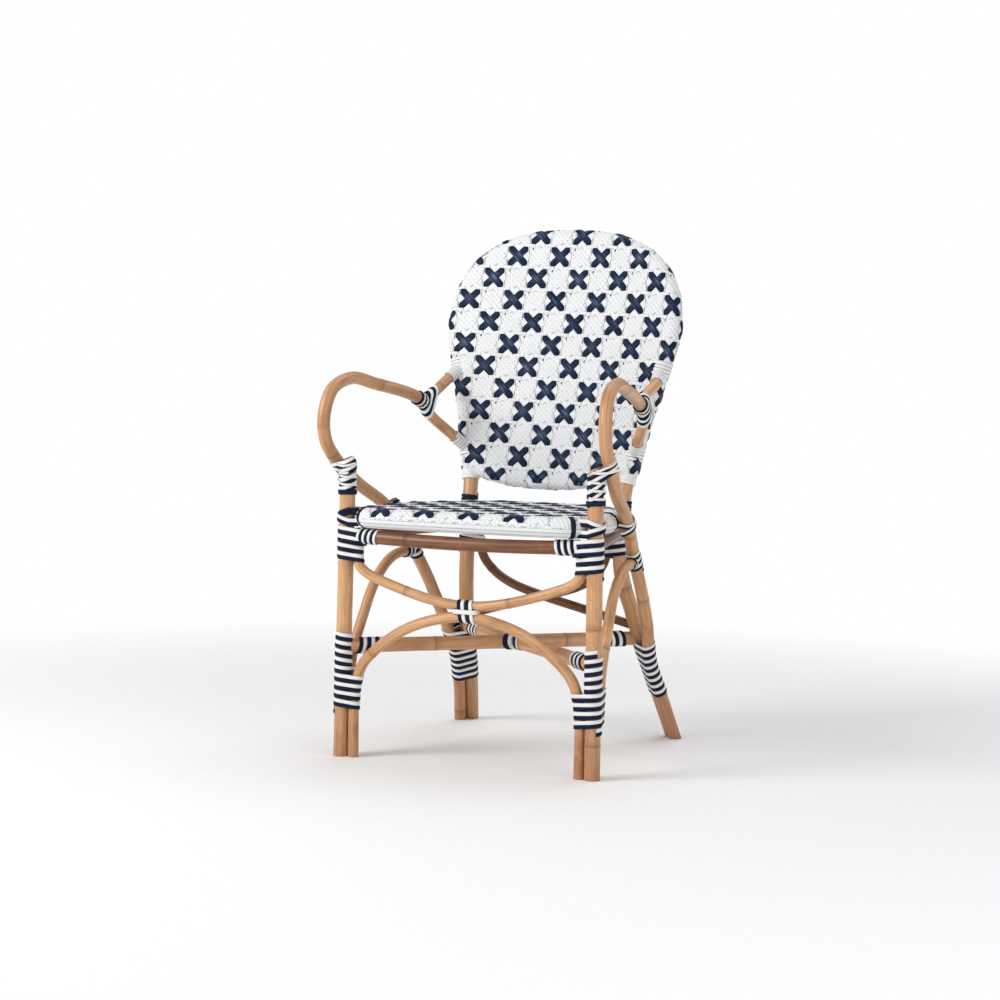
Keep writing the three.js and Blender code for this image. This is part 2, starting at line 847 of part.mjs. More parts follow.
// Seat weave: a sleeve round the ring, joined on top by the woven sheet with its crosses
function seatWeave() {
  const outline = ringPath.getSpacedPoints(ringPath.steps).map((p) => new THREE.Vector2(p.x, p.y));
  const cell = new THREE.Vector2(seatCell, seatCell);
  const start = new THREE.Vector2(seatCrossOffset, -seatFrontReach);
  const crosses = crossesAt(crossSpots(outline, cell, start));
  crosses.translate(0, 0, seatHeight);
  const sheet = new THREE.ExtrudeGeometry(new THREE.Shape(outline), {
    depth: sheetThickness,
    bevelEnabled: false,
  });
  sheet.translate(0, 0, seatHeight - sheetThickness);
  const solid = solidOf(pole(ringPath, sleeveRadius))
    .subtract(solidOf(pole(ringPath, ringRadius + touchGap, slimSides)))
    .subtract(solidOf(ringSeamCut))
    .add(solidOf(sheet))
    .add(solidOf(crosses));
  return geometryOf(solid);
}

// Back weave: a sleeve round hoop and lower rail, joined at the front by the woven sheet, whose
// crosses stand in a lattice that lies off the middle
const weaveStart = backRailRise - backRailSag;
// Share of the way across by which the rows of crosses drop
const backDropShare = 0.022;
const backFrame = new THREE.Matrix4()
  .makeBasis(point(1, 0, 0), backUp, backFront)
  .setPosition(backPoint(0, 0));

function backOutline() {
  const outline = [];
  for (const spot of hoopPath.getSpacedPoints(hoopPath.steps)) {
    const rise = (spot.z - postHeight) / Math.cos(lean);
    if (rise > backRailRise) outline.push(new THREE.Vector2(spot.x, rise));
  }
  for (const spot of railPath.getSpacedPoints(railPath.steps).reverse()) {
    const rise = spot.clone().sub(backPoint(0, 0)).dot(backUp);
    outline.push(new THREE.Vector2(spot.x, rise));
  }
  return outline;
}

function backSheet(extra = 0) {
  const sheet = new THREE.ExtrudeGeometry(new THREE.Shape(backOutline()), {
    depth: sheetThickness + extra,
    bevelEnabled: false,
  });
  sheet.translate(0, 0, backSleeveRadius - sheetThickness);
  sheet.applyMatrix4(backFrame);
  return sheet;
}

function backWeave() {
  const reach = 2 * (hoopWidestRise + hoopCrown);
  const above = block(reach, reach, reach, point(0, weaveStart + reach / 2, 0));
  above.applyMatrix4(backFrame);
  const railSleeve = pole(railPath, backRailRadius + weaveThickness, slimSides);
  const cell = new THREE.Vector2(backCellWidth, backCellHeight);
  const start = new THREE.Vector2(-backCrossOffset, backCrossRise);
  const crosses = crossesAt(crossSpots(backOutline(), cell, start, backCrowding, backDropShare));
  crosses.translate(0, 0, backSleeveRadius).applyMatrix4(backFrame);
  const solid = solidOf(pole(hoopPath, backSleeveRadius))
    .intersect(solidOf(above))
    .add(solidOf(railSleeve))
    .add(solidOf(backSheet()))
    .add(solidOf(crosses))
    .subtract(solidOf(hoopKeepOut))
    .subtract(solidOf(pole(railPath, backRailRadius + touchGap, slimSides)));
  return geometryOf(solid);
}

// Bindings on the right side: the poles each one holds, its axis, its start and its turns
const UP = point(0, 0, 1);
// Stretches of the centre lines that the bindings hold, as shares of each line
const boundShares = {
  whole: [0, 1],
  sideBraceFoot: [0, 0.5],
  lowerHalf: [0.5, 1],
  armFoot: [0.6, 1],
  crossTop: [0, 0.6],
  armFront: [0.2, 0.6],
  armRear: [0, 0.08],
  rearLeg: [0.4, 1],
  crowns: [0.3, 0.7],
  stretcherMiddle: [0.3, 0.8],
};
const armTipShare = 0.05;
const apronEndShare = 7 / 8;

// Heights between which the foot's turns hold the side brace
const braceHeld = [sideBraceFoot - pairWidth, sideBraceFoot + 4 * pairWidth];

function frontFootBinding() {
  return {
    bundle: [
      bound(legPaths[1], legRadius),
      bound(sideBracePaths[1], sideBraceRadius, boundShares.sideBraceFoot, braceHeld),
      bound(archSides[1], archRadius, boundShares.whole, [0, archSpringHeight + pairWidth]),
    ],
    origin: point(legX, legY, 0),
    axis: UP,
    start: footBindingStart,
    turns: frontFootTurns,
    startAngle: -Math.PI / 4,
  };
}

function rearFootBinding() {
  return {
    bundle: [
      bound(hoopHalves[1], hoopRadius, boundShares.lowerHalf),
      bound(armPaths[1], armRadius, boundShares.armFoot),
    ],
    ...crossingAt(hoopHalves[1], rearBindingStart),
    start: 0,
    turns: rearFootTurns,
    startAngle: Math.PI / 2,
  };
}

// Place and upward direction of a centre line at a height
function crossingAt(path, height) {
  const origin = atHeight(path, height);
  const axis = atHeight(path, height + pairPitch).sub(origin).normalize();
  return { origin, axis };
}

// The bound bundle with the strands on it, as a closed body to cut a butted pole end with
function bindingKeepOut({ bundle, origin, axis, start, turns, startAngle = 0 }, side = 1) {
  const frame = { origin, axis, ...crossPlane(axis) };
  const rows = [];
  for (let i = 0; i <= turns; i += 1) {
    const place = start + pairPitch * (i + 0.5);
    const directions = turnDirections(heldAt(bundle, place), frame, place, startAngle);
    directions.push(directions[0] + 2 * Math.PI);
    const row = [];
    for (let k = 0; k < turnSteps; k += 1) {
      const angles = [directions[k], directions[k + 1]];
      row.push(outlineCorner(heldAt(bundle, place), frame, place, angles, wrapReach));
    }
    rows.push(onSide(row, side));
  }
  return closedStrip(rows);
}

function frontTopBinding() {
  const length = pairTurns * pairPitch + pairWidth;
  return {
    bundle: [
      bound(legPaths[1], legRadius),
      bound(bowSides[1], bowRadius, boundShares.whole, [0, bowTop - strandWidth]),
    ],
    origin: point(legX, legY, 0),
    axis: UP,
    start: apronHeight - frontApronDiameter / 2 - touchGap - length,
    turns: frontTopTurns,
  };
}

function frontTopKeepOuts(side) {
  return [bindingKeepOut(frontTopBinding(), side), legKeepOuts[side]];
}

function braceEndBinding() {
  return {
    bundle: [bound(armPaths[1], armRadius, boundShares.lowerHalf)],
    ...crossingAt(armPaths[1], sideBraceTop),
    start: -(shortTurns * pairPitch) / 2,
    turns: shortTurns,
  };
}

function rearTopBinding() {
  const length = pairTurns * pairPitch + pairWidth;
  const top = apronHeight - sideApronDiameter / 2 - touchGap;
  return {
    bundle: [
      bound(hoopHalves[1], hoopRadius, boundShares.lowerHalf),
      bound(rearCrossPaths[1], rearCrossRadius, boundShares.crossTop),
    ],
    ...crossingAt(hoopHalves[1], top - length),
    start: 0,
    turns: pairTurns,
    gap: 2 * touchGap,
  };
}

function armFrontBinding() {
  return {
    bundle: [
      bound(legPaths[1], legRadius),
      bound(armPaths[1], armRadius, boundShares.armFront, [
        armBindingStart + 2 * pairPitch,
        Infinity,
      ]),
    ],
    origin: point(legX, legY, 0),
    axis: UP,
    start: armBindingStart,
    turns: armFrontTurns,
    startAngle: Math.PI,
  };
}

function armBackBinding() {
  const origin = bracketTips[1];
  return {
    bundle: [
      bound(armPaths[1], armRadius, boundShares.armRear),
      bound(bracketPaths[1], bracketRadius),
    ],
    origin,
    axis: origin.clone().sub(armPaths[1].getPointAt(armTipShare)).normalize(),
    start: -pairTurns * pairPitch,
    turns: pairTurns,
    startAngle: Math.PI,
    gap: bendSlack,
  };
}

// A winding round one straight stretch of pole, starting some way from a point on it
function singleWrap(path, radius, origin, towards, start, turns) {
  const axis = towards.clone().sub(origin).normalize();
  return { bundle: [bound(path, radius)], origin, axis, start, turns };
}

// A single-strand tie round one pole at the height of the seat ring
function seatTie(path, radius, stretch) {
  return {
    bundle: [bound(path, radius, stretch)],
    ...crossingAt(path, ringHeight),
    start: -tiePitch - tieWidth / 2,
    turns: pairTurns,
    width: tieWidth,
    pitch: tiePitch,
  };
}

// Poles
const frontApron = pole(frontApronPath, frontApronDiameter / 2);
const frontApronKeepOut = pole(frontApronPath, frontApronDiameter / 2 + touchGap);
const sleeveKeepOut = pole(hoopPath, backSleeveRadius + touchGap);

addPiece("back_hoop_and_rear_legs", cutBy(hoopTube, [belowFloor()]), RATTAN);
addPiece(
  "back_lower_rail",
  cutBy(pole(railPath, backRailRadius, slimSides), [hoopKeepOut]),
  RATTAN,
);
addPiece("seat_ring", cutBy(ringTube, [ringSeamCut]), RATTAN);
addPiece("stretcher_from_left", stretcherSolid(-1), RATTAN);
addPiece("stretcher_from_right", stretcherSolid(1), RATTAN);
addPiece("front_arch", pole(archPath, archRadius, slimSides), RATTAN);
addPiece("front_bow", pole(bowPath, bowRadius, slimSides), RATTAN);
addPiece(
  "front_apron",
  cutBy(frontApron, [-1, 1].flatMap(frontTopKeepOuts)),
  RATTAN_DARK,
);
addPiece(
  "rear_apron",
  cutBy(pole(rearApronPath, rearApronDiameter / 2, slimSides), [hoopKeepOut]),
  RATTAN_DARK,
);
for (const side of [-1, 1]) {
  const tag = side < 0 ? "left" : "right";
  const bracketPole = pole(bracketPaths[side], bracketRadius, slimSides);
  const bracketFit = pole(bracketPaths[side], bracketRadius + touchGap, slimSides);
  const armPole = pole(armPaths[side], armRadius, slimSides);
  const sideApron = pole(sideApronPaths[side], sideApronDiameter / 2, slimSides);
  const bracePole = pole(sideBracePaths[side], sideBraceRadius, slimSides);
  const crossPole = pole(rearCrossPaths[side], rearCrossRadius, slimSides);
  const apronCutters = [...frontTopKeepOuts(side), frontApronKeepOut, hoopKeepOut];
  const braceCutters = [bindingKeepOut(braceEndBinding(), side)];
  const frontLeg = cutBy(pole(legPaths[side], legRadius), [belowFloor()]);
  addPiece(`front_leg_${tag}`, frontLeg, RATTAN);
  addPiece(`arm_bracket_${tag}`, cutBy(bracketPole, [sleeveKeepOut, backSheet(touchGap)]), RATTAN);
  addPiece(`arm_and_brace_${tag}`, cutBy(armPole, [belowFloor(), bracketFit]), RATTAN);
  addPiece(`side_apron_${tag}`, cutBy(sideApron, apronCutters), RATTAN_DARK);
  addPiece(`side_brace_${tag}`, cutBy(bracePole, braceCutters), RATTAN);
  addPiece(`rear_cross_${tag}`, cutBy(crossPole, [hoopKeepOut]), RATTAN_DARK);
}

// Weave
addPiece("seat_weave", seatWeave(), WHITE);
addPiece("back_weave", backWeave(), WHITE);

// Bindings, the left one of each pair being the mirror image of the right one
const crossing = stretcherPaths[1].getPointAt(legY / (legY - hoopAt(-1, stretcherHeight).y));
const besideLeg = outside(legRadius);
const besideRearLeg = hoopRadius + armRadius;
const stubs = {
  front: [stretcherPaths[1], point(legXAt(stretcherHeight), legY, stretcherHeight), besideLeg],
  rear: [stretcherPaths[-1], hoopAt(1, stretcherHeight), besideRearLeg],
};
for (const side of [-1, 1]) {
  const tag = side < 0 ? "left" : "right";
  winding(`front_foot_binding_${tag}`, frontFootBinding(), side);
  winding(`rear_foot_binding_${tag}`, rearFootBinding(), side);
  winding(`front_top_binding_${tag}`, frontTopBinding(), side);
  winding(`rear_top_binding_${tag}`, rearTopBinding(), side);
  winding(`arm_front_binding_${tag}`, armFrontBinding(), side);
  winding(`arm_back_binding_${tag}`, armBackBinding(), side);
  winding(`brace_end_binding_${tag}`, braceEndBinding(), side);
  for (const [place, [path, from, start]] of Object.entries(stubs)) {
    const wrap = singleWrap(path, stretcherRadius, from, crossing, start, shortTurns);
    winding(`${place}_stub_binding_${tag}`, wrap, side);
  }
  const apronFrom = frontApronPath.getPointAt(1);
  const apronTo = frontApronPath.getPointAt(apronEndShare);
  const apronWrap = [frontApronPath, frontApronDiameter / 2, apronFrom, apronTo];
  winding(`apron_binding_${tag}`, singleWrap(...apronWrap, besideLeg, pairTurns), side);
  const ties = {
    front: [legPaths[1], legRadius, boundShares.whole],
    side: [armPaths[1], armRadius, boundShares.lowerHalf],
    rear: [hoopHalves[1], hoopRadius, boundShares.rearLeg],
  };
  for (const [place, tie] of Object.entries(ties)) {
    winding(`seat_tie_${place}_${tag}`, seatTie(...tie), side);
  }
}
winding("arch_and_bow_binding", {
  bundle: [
    bound(archPath, archRadius, boundShares.crowns),
    bound(bowPath, bowRadius, boundShares.crowns),
  ],
  origin: point(0, legY, archHeight),
  axis: point(1, 0, 0),
  start: -(pairTurns * pairPitch + pairWidth) / 2,
  turns: pairTurns,
});
winding("stretcher_crossing_binding", {
  bundle: [
    bound(stretcherPaths[-1], stretcherRadius, boundShares.stretcherMiddle),
    bound(stretcherPaths[1], stretcherRadius, boundShares.stretcherMiddle),
  ],
  origin: point(0, crossing.y, stretcherHeight),
  axis: point(1, 0, 0),
  start: -(pairTurns * pairPitch + pairWidth) / 2,
  turns: pairTurns,
});

// The origin is on the floor, in the middle of the chair's box
const box = new THREE.Box3().setFromObject(chair);
chair.position.y = -(box.min.y + box.max.y) / 2;

export default chair;
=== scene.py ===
import bpy
import numpy as np
from mathutils import Matrix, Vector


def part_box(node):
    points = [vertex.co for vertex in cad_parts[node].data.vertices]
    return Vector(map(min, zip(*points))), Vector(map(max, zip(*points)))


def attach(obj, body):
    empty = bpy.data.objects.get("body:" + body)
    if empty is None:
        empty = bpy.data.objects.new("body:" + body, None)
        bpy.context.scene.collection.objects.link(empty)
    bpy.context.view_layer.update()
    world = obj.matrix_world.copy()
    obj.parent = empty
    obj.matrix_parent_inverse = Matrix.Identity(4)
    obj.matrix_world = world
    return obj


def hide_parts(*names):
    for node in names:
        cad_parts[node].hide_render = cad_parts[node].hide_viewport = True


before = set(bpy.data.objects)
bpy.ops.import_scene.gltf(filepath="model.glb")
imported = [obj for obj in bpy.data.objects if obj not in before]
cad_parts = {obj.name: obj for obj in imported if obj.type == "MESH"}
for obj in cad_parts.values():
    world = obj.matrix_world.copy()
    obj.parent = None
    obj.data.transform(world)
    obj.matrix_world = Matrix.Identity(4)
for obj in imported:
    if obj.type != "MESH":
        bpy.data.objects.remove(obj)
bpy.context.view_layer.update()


# Floor: a pale, nearly matt studio sheet, in metres, that fades into the white surround further
# out.
class Wire:
    """A socket of a node tree. Arithmetic on wires and numbers adds Math nodes."""

    def __init__(self, tree, socket=None):
        self.tree, self.socket = tree, socket

    def add(self, kind, settings=None, values=None, output=0):
        """Any node: its settings first, then the values or wires of its sockets."""
        node = self.tree.nodes.new(kind)
        for name, value in (settings or {}).items():
            setattr(node, name, value)
        for name, value in (values or {}).items():
            if isinstance(value, Wire):
                self.tree.links.new(value.socket, node.inputs[name])
            else:
                node.inputs[name].default_value = value
        return Wire(self.tree, node.outputs[output]) if node.outputs else None

    def math(self, operation, *values):
        return self.add("ShaderNodeMath", {"operation": operation}, dict(enumerate(values)))

    def __add__(self, other):
        return self.math("ADD", self, other)

    def __rsub__(self, other):
        return self.math("SUBTRACT", other, self)

    def __mul__(self, other):
        return self.math("MULTIPLY", self, other)

    def __truediv__(self, other):
        return self.math("DIVIDE", self, other)

    __radd__, __rmul__ = __add__, __mul__

    def span(self, low, high):
        """A smooth step from 0 to 1 while the value goes from low to high."""
        values = {0: self, 1: low, 2: high}
        return self.add("ShaderNodeMapRange", {"interpolation_type": "SMOOTHSTEP"}, values)

    def mix(self, share, first, second, blend="MIX"):
        settings = {"data_type": "RGBA", "blend_type": blend}
        return self.add("ShaderNodeMix", settings, {0: share, 6: first, 7: second}, 2)

    def stretch(self, vector, scale):
        """The vector times a scale for each axis."""
        return self.add("ShaderNodeVectorMath", {"operation": "MULTIPLY"}, {0: vector, 1: scale})

    def noise(self, vector, scale, detail=2.0, rough=0.5, turn=0.0):
        values = {"Vector": vector, "Scale": scale, "Detail": detail, "Roughness": rough}
        return self.add("ShaderNodeTexNoise", {}, {**values, "Distortion": turn})

    def attribute(self, name, output="Fac"):
        return self.add("ShaderNodeAttribute", {"attribute_name": name}, {}, output)

    def surface(self, base, rough, height=None, bump=(1.0, 0.001), **fixed):
        """Principled shader: colour, roughness, bump of a strength and distance, and plain numbers."""
        values = {"Base Color": base, "Roughness": rough}
        if height is not None:
            strength, distance = bump
            raised = {"Strength": strength, "Distance": distance, "Height": height}
            values["Normal"] = self.add("ShaderNodeBump", {}, raised)
        values.update({name.replace("_", " "): value for name, value in fixed.items()})
        return self.add("ShaderNodeBsdfPrincipled", {}, values)

    def finish(self, shader, kind="ShaderNodeOutputMaterial"):
        self.add(kind, {}, {"Surface": shader})


def new_tree(name):
    """A material with an empty node tree, and a wire to build it from."""
    material = bpy.data.materials.new(name)
    material.use_nodes = True
    material.node_tree.nodes.clear()
    return material, Wire(material.node_tree)


def linear(*rgb):
    """Linear colour of an sRGB colour given in 0 to 255."""
    share = np.array(rgb) / 255
    value = np.where(share <= 0.04045, share / 12.92, ((share + 0.055) / 1.055) ** 2.4)
    return (*value.tolist(), 1.0)


floor_half, floor_z = 9.0, -0.0006
fade_start, fade_end = 0.7, 2.2
floor_mesh = bpy.data.meshes.new("floor")
corner_sides = ((-1, -1), (1, -1), (1, 1), (-1, 1))
floor_corners = [(x * floor_half, y * floor_half, floor_z) for x, y in corner_sides]
floor_mesh.from_pydata(floor_corners, [], [(0, 1, 2, 3)])
floor = bpy.data.objects.new("floor", floor_mesh)
bpy.context.scene.collection.objects.link(floor)
floor_material, t = new_tree("pale_floor")
spot = t.add("ShaderNodeTexCoord", output="Object")
grain = t.noise(spot, 60.0, 4.0, 0.6)
pale = t.mix(grain.span(0.3, 0.7), linear(250, 248, 246), linear(253, 251, 249))
sheet = t.surface(pale, 0.8, grain, (0.05, 0.001))
glow = t.add("ShaderNodeEmission", {}, {"Color": (1.0, 1.0, 1.0, 1.0), "Strength": 1.0})
away = t.add("ShaderNodeVectorMath", {"operation": "LENGTH"}, {0: spot}, "Value")
t.finish(t.add("ShaderNodeMixShader", {}, {0: away.span(fade_start, fade_end), 1: sheet, 2: glow}))
floor_mesh.materials.append(floor_material)


# Studio light: a plain white surround, which lights the chair only dimly, and three soft square
# lamps that face the seat: a key from the front left, a fill from the right and one above.
def unit(v):
    return v / np.linalg.norm(v, axis=-1, keepdims=True)


def stand(thing, place, right, up, back):
    """Puts a lamp or camera at a place in metres, facing away from back."""
    thing.matrix_world = Matrix.Translation(place) @ Matrix(np.column_stack([right, up, back])).to_4x4()
    bpy.context.scene.collection.objects.link(thing)


world = bpy.data.worlds.new("studio")
bpy.context.scene.world = world
world.use_nodes = True
world.node_tree.nodes.clear()
t = Wire(world.node_tree)
seen = t.add("ShaderNodeLightPath", output="Is Camera Ray")
ambient = t.add("ShaderNodeBackground", {}, {"Color": (0.93, 0.96, 1.0, 1.0), "Strength": 0.5})
backdrop = t.add("ShaderNodeBackground", {}, {"Color": (1.0, 1.0, 1.0, 1.0), "Strength": 1.0})
t.finish(t.add("ShaderNodeMixShader", {}, {0: seen, 1: ambient, 2: backdrop}), "ShaderNodeOutputWorld")

aim = (0.0, 0.0, 0.45)
for name, place, size, power in (
    ("key", (-2.2, -2.6, 2.1), 1.6, 84.0),
    ("fill", (2.6, -1.6, 1.5), 2.2, 20.0),
    ("top", (0.4, 1.2, 3.2), 2.4, 24.0),
):
    light = bpy.data.lights.new(name, "AREA")
    light.size, light.energy = size, power
    back = unit(np.subtract(place, aim))
    right = unit(np.cross([0, 0, 1], back))
    stand(bpy.data.objects.new(name, light), place, right, np.cross(back, right), back)

# Camera: where the photograph's stood, found from mirrored pairs of points on the chair, in
# metres and radians round an upright line. The focal length is in pixels of a picture 1000 wide.
azimuth, distance, height = 0.395989, 4.100012, 0.706724
pitch, yaw, roll = -0.062551, 0.011094, 0.020687
focal, picture_width, sensor_width = 2257.873, 1000, 36.0
line_y = 0.01764
turn = azimuth + yaw
ahead = np.array([-np.sin(turn) * np.cos(pitch), np.cos(turn) * np.cos(pitch), np.sin(pitch)])
right = np.array([np.cos(turn), np.sin(turn), 0.0])
right = right * np.cos(roll) + np.cross(right, ahead) * np.sin(roll)
lens = bpy.data.cameras.new("photo_camera")
lens.sensor_width, lens.lens = sensor_width, focal / picture_width * sensor_width
camera = bpy.data.objects.new("photo_camera", lens)
place = (np.sin(azimuth) * distance, line_y - np.cos(azimuth) * distance, height)
stand(camera, place, right, np.cross(right, ahead), -ahead)
bpy.context.scene.camera = camera
bpy.context.scene.view_settings.view_transform = "Standard"


# Front legs: two stout, nearly straight varnished canes from the floor up to the arms, their tops
# rounded off under the bindings, which hold them to the poles beside them.
def centre_line(points, spacing=2.5):
    """Centripetal Catmull-Rom curve through the points, resampled to even steps of length.

    Each span is the cubic whose end slopes come from its neighbours, with knots spaced by the
    square root of the distances; past either end the line goes on by its own mirror image.
    """
    p = np.asarray(points, float)
    if len(p) == 2:
        fine = p
    else:
        p = np.vstack([2 * p[0] - p[1], p, 2 * p[-1] - p[-2]])
        a, b, c, d = p[:-3, None], p[1:-2, None], p[2:-1, None], p[3:, None]
        gap = [np.sqrt(np.linalg.norm(y - x, axis=-1, keepdims=True)) for x, y in ((a, b), (b, c), (c, d))]
        start = (b - a) / gap[0] - (c - a) / (gap[0] + gap[1]) + (c - b) / gap[1]
        end = (c - b) / gap[1] - (d - b) / (gap[1] + gap[2]) + (d - c) / gap[2]
        start, end = start * gap[1], end * gap[1]
        t = np.linspace(0, 1, 40, endpoint=False)[None, :, None]
        spans = b + start * t + (3 * (c - b) - 2 * start - end) * t**2 + (2 * (b - c) + start + end) * t**3
        fine = np.vstack([spans.reshape(-1, 3), p[-2]])
    length = run_of(fine)
    even = np.linspace(0, length[-1], max(2, int(round(length[-1] / spacing)) + 1))
    return np.column_stack([np.interp(even, length, fine[:, k]) for k in range(3)])


def run_of(path):
    """Length along a line up to each of its points."""
    return np.append(0, np.cumsum(np.linalg.norm(np.diff(path, axis=0), axis=1)))


def mirror(points, side):
    """Points of the right-hand side, or their mirror image where side is -1."""
    return np.asarray(points, float) * (side, 1, 1)


def add_mesh(name, node, points, faces, materials, layers, which=None, sharp_angle=35):
    """A smooth mesh piece in place of a CAD node, or beside them where the node is None.

    points: (n, 3) in millimetres of the source. faces: arrays of corner indices, one array for
    each number of corners. layers: per-point values, numbers or vectors, kept as attributes.
    which: material index of each face.
    """
    totals = np.concatenate([np.full(len(f), f.shape[1]) for f in faces])
    corners = np.concatenate([f.ravel() for f in faces])
    mesh = bpy.data.meshes.new(name)
    mesh.vertices.add(len(points))
    place = np.asarray(points) * 0.001 + (0, source_shift, 0)
    mesh.vertices.foreach_set("co", place.astype(np.float32).ravel())
    mesh.loops.add(len(corners))
    mesh.loops.foreach_set("vertex_index", corners.astype(np.int32))
    mesh.polygons.add(len(totals))
    starts = np.append(0, np.cumsum(totals)[:-1])
    mesh.polygons.foreach_set("loop_start", starts.astype(np.int32))
    mesh.polygons.foreach_set("loop_total", totals.astype(np.int32))
    if which is not None:
        mesh.polygons.foreach_set("material_index", np.asarray(which, np.int32))
    mesh.update(calc_edges=True)
    mesh.polygons.foreach_set("use_smooth", np.ones(len(totals), bool))
    mesh.set_sharp_from_angle(angle=np.radians(sharp_angle))
    for layer, values in layers.items():
        values = np.asarray(values, np.float32)
        kind, key = ("FLOAT", "value") if values.ndim == 1 else ("FLOAT_VECTOR", "vector")
        mesh.attributes.new(layer, kind, "POINT").data.foreach_set(key, values.ravel())
    for material in materials:
        mesh.materials.append(material)
    piece = bpy.data.objects.new(name, mesh)
    bpy.context.scene.collection.objects.link(piece)
    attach(piece, "root")
    if node:
        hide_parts(node)


def grid_faces(rows, columns, closed=False):
    """Corner indices of the quads of a grid of points, row by row."""
    across = columns if closed else columns - 1
    a = np.arange(rows - 1)[:, None] * columns + np.arange(across)
    b = np.arange(rows - 1)[:, None] * columns + (np.arange(across) + 1) % columns
    return np.stack([a, b, b + columns, a + columns], -1).reshape(-1, 4)


def side_frame(path):
    """Tangent and two directions square to it, for each point of a centre line.

    The first is the normal of the plane that the line lies nearest to, made square to it.
    """
    tangent = unit(np.gradient(path, axis=0))
    normal = np.linalg.svd(path - path.mean(0))[2][-1]
    if np.abs(tangent @ normal).max() > 0.9:
        normal = np.array([0.0, 1.0, 0.0])
    first = unit(normal - tangent * (tangent @ normal)[:, None])
    return tangent, first, np.cross(tangent, first)


def tube(path, sizes, corners):
    """Skin and faces of a closed tube: at each place of a line, points a size away all round it."""
    tangent, first, second = side_frame(path)
    angle = 2 * np.pi * np.arange(corners) / corners
    turn = np.cos(angle)[None, :, None] * first[:, None] + np.sin(angle)[None, :, None] * second[:, None]
    ends = np.arange(corners)
    caps = np.array([ends[::-1], ends + (len(path) - 1) * corners])
    return path[:, None] + turn * sizes[..., None], [grid_faces(len(path), corners, True), caps]


def rattan(name, slot, light, dark, deep):
    """Varnished cane and its slot: long fibres, mottled tone, dark growth rings, a thin clear coat."""
    material, t = new_tree(name)
    place, ring = t.attribute("grain", "Vector"), t.attribute("ring")
    long_grain = t.noise(t.stretch(place, (1.0, 1.0, 0.035)), 260.0, 3.0, 0.6, 0.2)
    fibre = t.noise(t.stretch(place, (1.0, 1.0, 0.012)), 1100.0, 2.0, 0.6)
    mottle = t.noise(t.stretch(place, (1.0, 1.0, 0.35)), 38.0, 3.0, 0.55, 0.6)
    flecks = t.noise(t.stretch(place, (1.0, 1.0, 0.12)), 420.0, 1.0, 0.5)
    colour = t.mix(long_grain.span(0.3, 0.72), light, dark)
    colour = t.mix(mottle.span(0.45, 0.75) * 0.45, colour, deep)
    colour = t.mix(fibre.span(0.52, 0.8) * 0.35, colour, deep)
    colour = t.mix(flecks.span(0.66, 0.74) * 0.5, colour, deep)
    colour = t.mix(ring * 0.75, colour, deep)
    # The tone attribute darkens the cane: each pole's own tone, and painted shade near the floor.
    colour = t.mix(t.attribute("tone"), colour, deep, "MULTIPLY")
    rough = 0.36 + 0.18 * long_grain + 0.15 * ring
    height = 0.6 * fibre + 0.8 * long_grain
    t.finish(t.surface(colour, rough, height, (0.35, 0.0006), Coat_Weight=0.25, Coat_Roughness=0.22))
    return material, slot


honey = rattan("rattan_honey", "rattan", linear(222, 172, 124), linear(196, 142, 94), linear(140, 88, 48))
pole_sides = 28
rings_apart = (170.0, 290.0)
# Painted shade near the floor: its strength, and the height in millimetres where it has faded out.
floor_shade_height, painted_floor_shade = 240.0, 0.3


def add_pole(node, path, radius, cane=honey, cut_floor=False, shade=0.0, round_end=0.0):
    """A tube along a centre line: radius times (1 + a low ridge at each growth ring).

    Past a round end's start the radius falls as a circle does. Below the floor, points slide
    back along the line to the floor. The cane's tone is darker by the shade, and it is darker
    towards the floor: painted shade for the dimmer light near the floor.
    """
    seed = np.random.default_rng(sum(map(ord, node)))
    along = run_of(path)
    spots = np.cumsum(seed.uniform(*rings_apart, 12)) - seed.uniform(20, 160)
    near = along[:, None] - spots
    ridge = (0.030 * np.exp(-((near / 3.2) ** 2)) - 0.012 * np.exp(-(((near - 5) / 3) ** 2))).sum(1)
    wave = 0.006 * np.sin(along / 61 + seed.uniform(0, 6)) + 0.004 * np.sin(along / 23)
    size = radius * 0.985 * (1 + ridge + wave)
    if round_end:
        into = np.clip(1 - (along[-1] - along) / round_end, 0, 1)
        size = size * np.sqrt(1 - 0.96 * into**2)
    skin, faces = tube(path, np.repeat(size[:, None], pole_sides, 1), pole_sides)
    if cut_floor:
        tangent = side_frame(path)[0]
        slope = np.where(np.abs(tangent[:, 2]) > 0.3, tangent[:, 2], 1.0)
        low = np.minimum(skin[..., 2], 0) / slope[:, None]
        skin = skin - tangent[:, None] * low[..., None]
    angle = 2 * np.pi * np.arange(pole_sides) / pole_sides
    grain = np.empty_like(skin)
    grain[..., 0], grain[..., 1] = radius * np.cos(angle), radius * np.sin(angle)
    grain[..., 2] = along[:, None]
    grain = (grain + seed.uniform(0, 900, 3)) * 0.001
    ring = np.exp(-((near + 1.0) / 1.6) ** 2).sum(1) + 0.35 * np.exp(-((near - 4) / 4) ** 2).sum(1)
    # Tone: the pole's shade, a random share, and painted shade that darkens it towards the floor.
    tone = shade + seed.uniform(0, 0.1) + painted_floor_shade * np.clip(1 - path[:, 2] / floor_shade_height, 0, 1)
    layers = {
        "grain": grain.reshape(-1, 3),
        "ring": np.repeat(np.clip(ring, 0, 1), pole_sides),
        "tone": np.repeat(tone, pole_sides),
    }
    material, slot = cane
    add_mesh(node + "_pole", node, skin.reshape(-1, 3), faces, [material], layers)


def add_poles(name, line, *sizes, **form):
    """The same pole on each side of the chair, from the right-hand centre line."""
    for side, tag in sides:
        add_pole(f"{name}_{tag}", mirror(line, side), *sizes, **form)


def leg_x_at(height):
    """How far from the middle the right front leg's centre line is, at a height."""
    return leg_x + (leg_top_x - leg_x) * height / leg_height


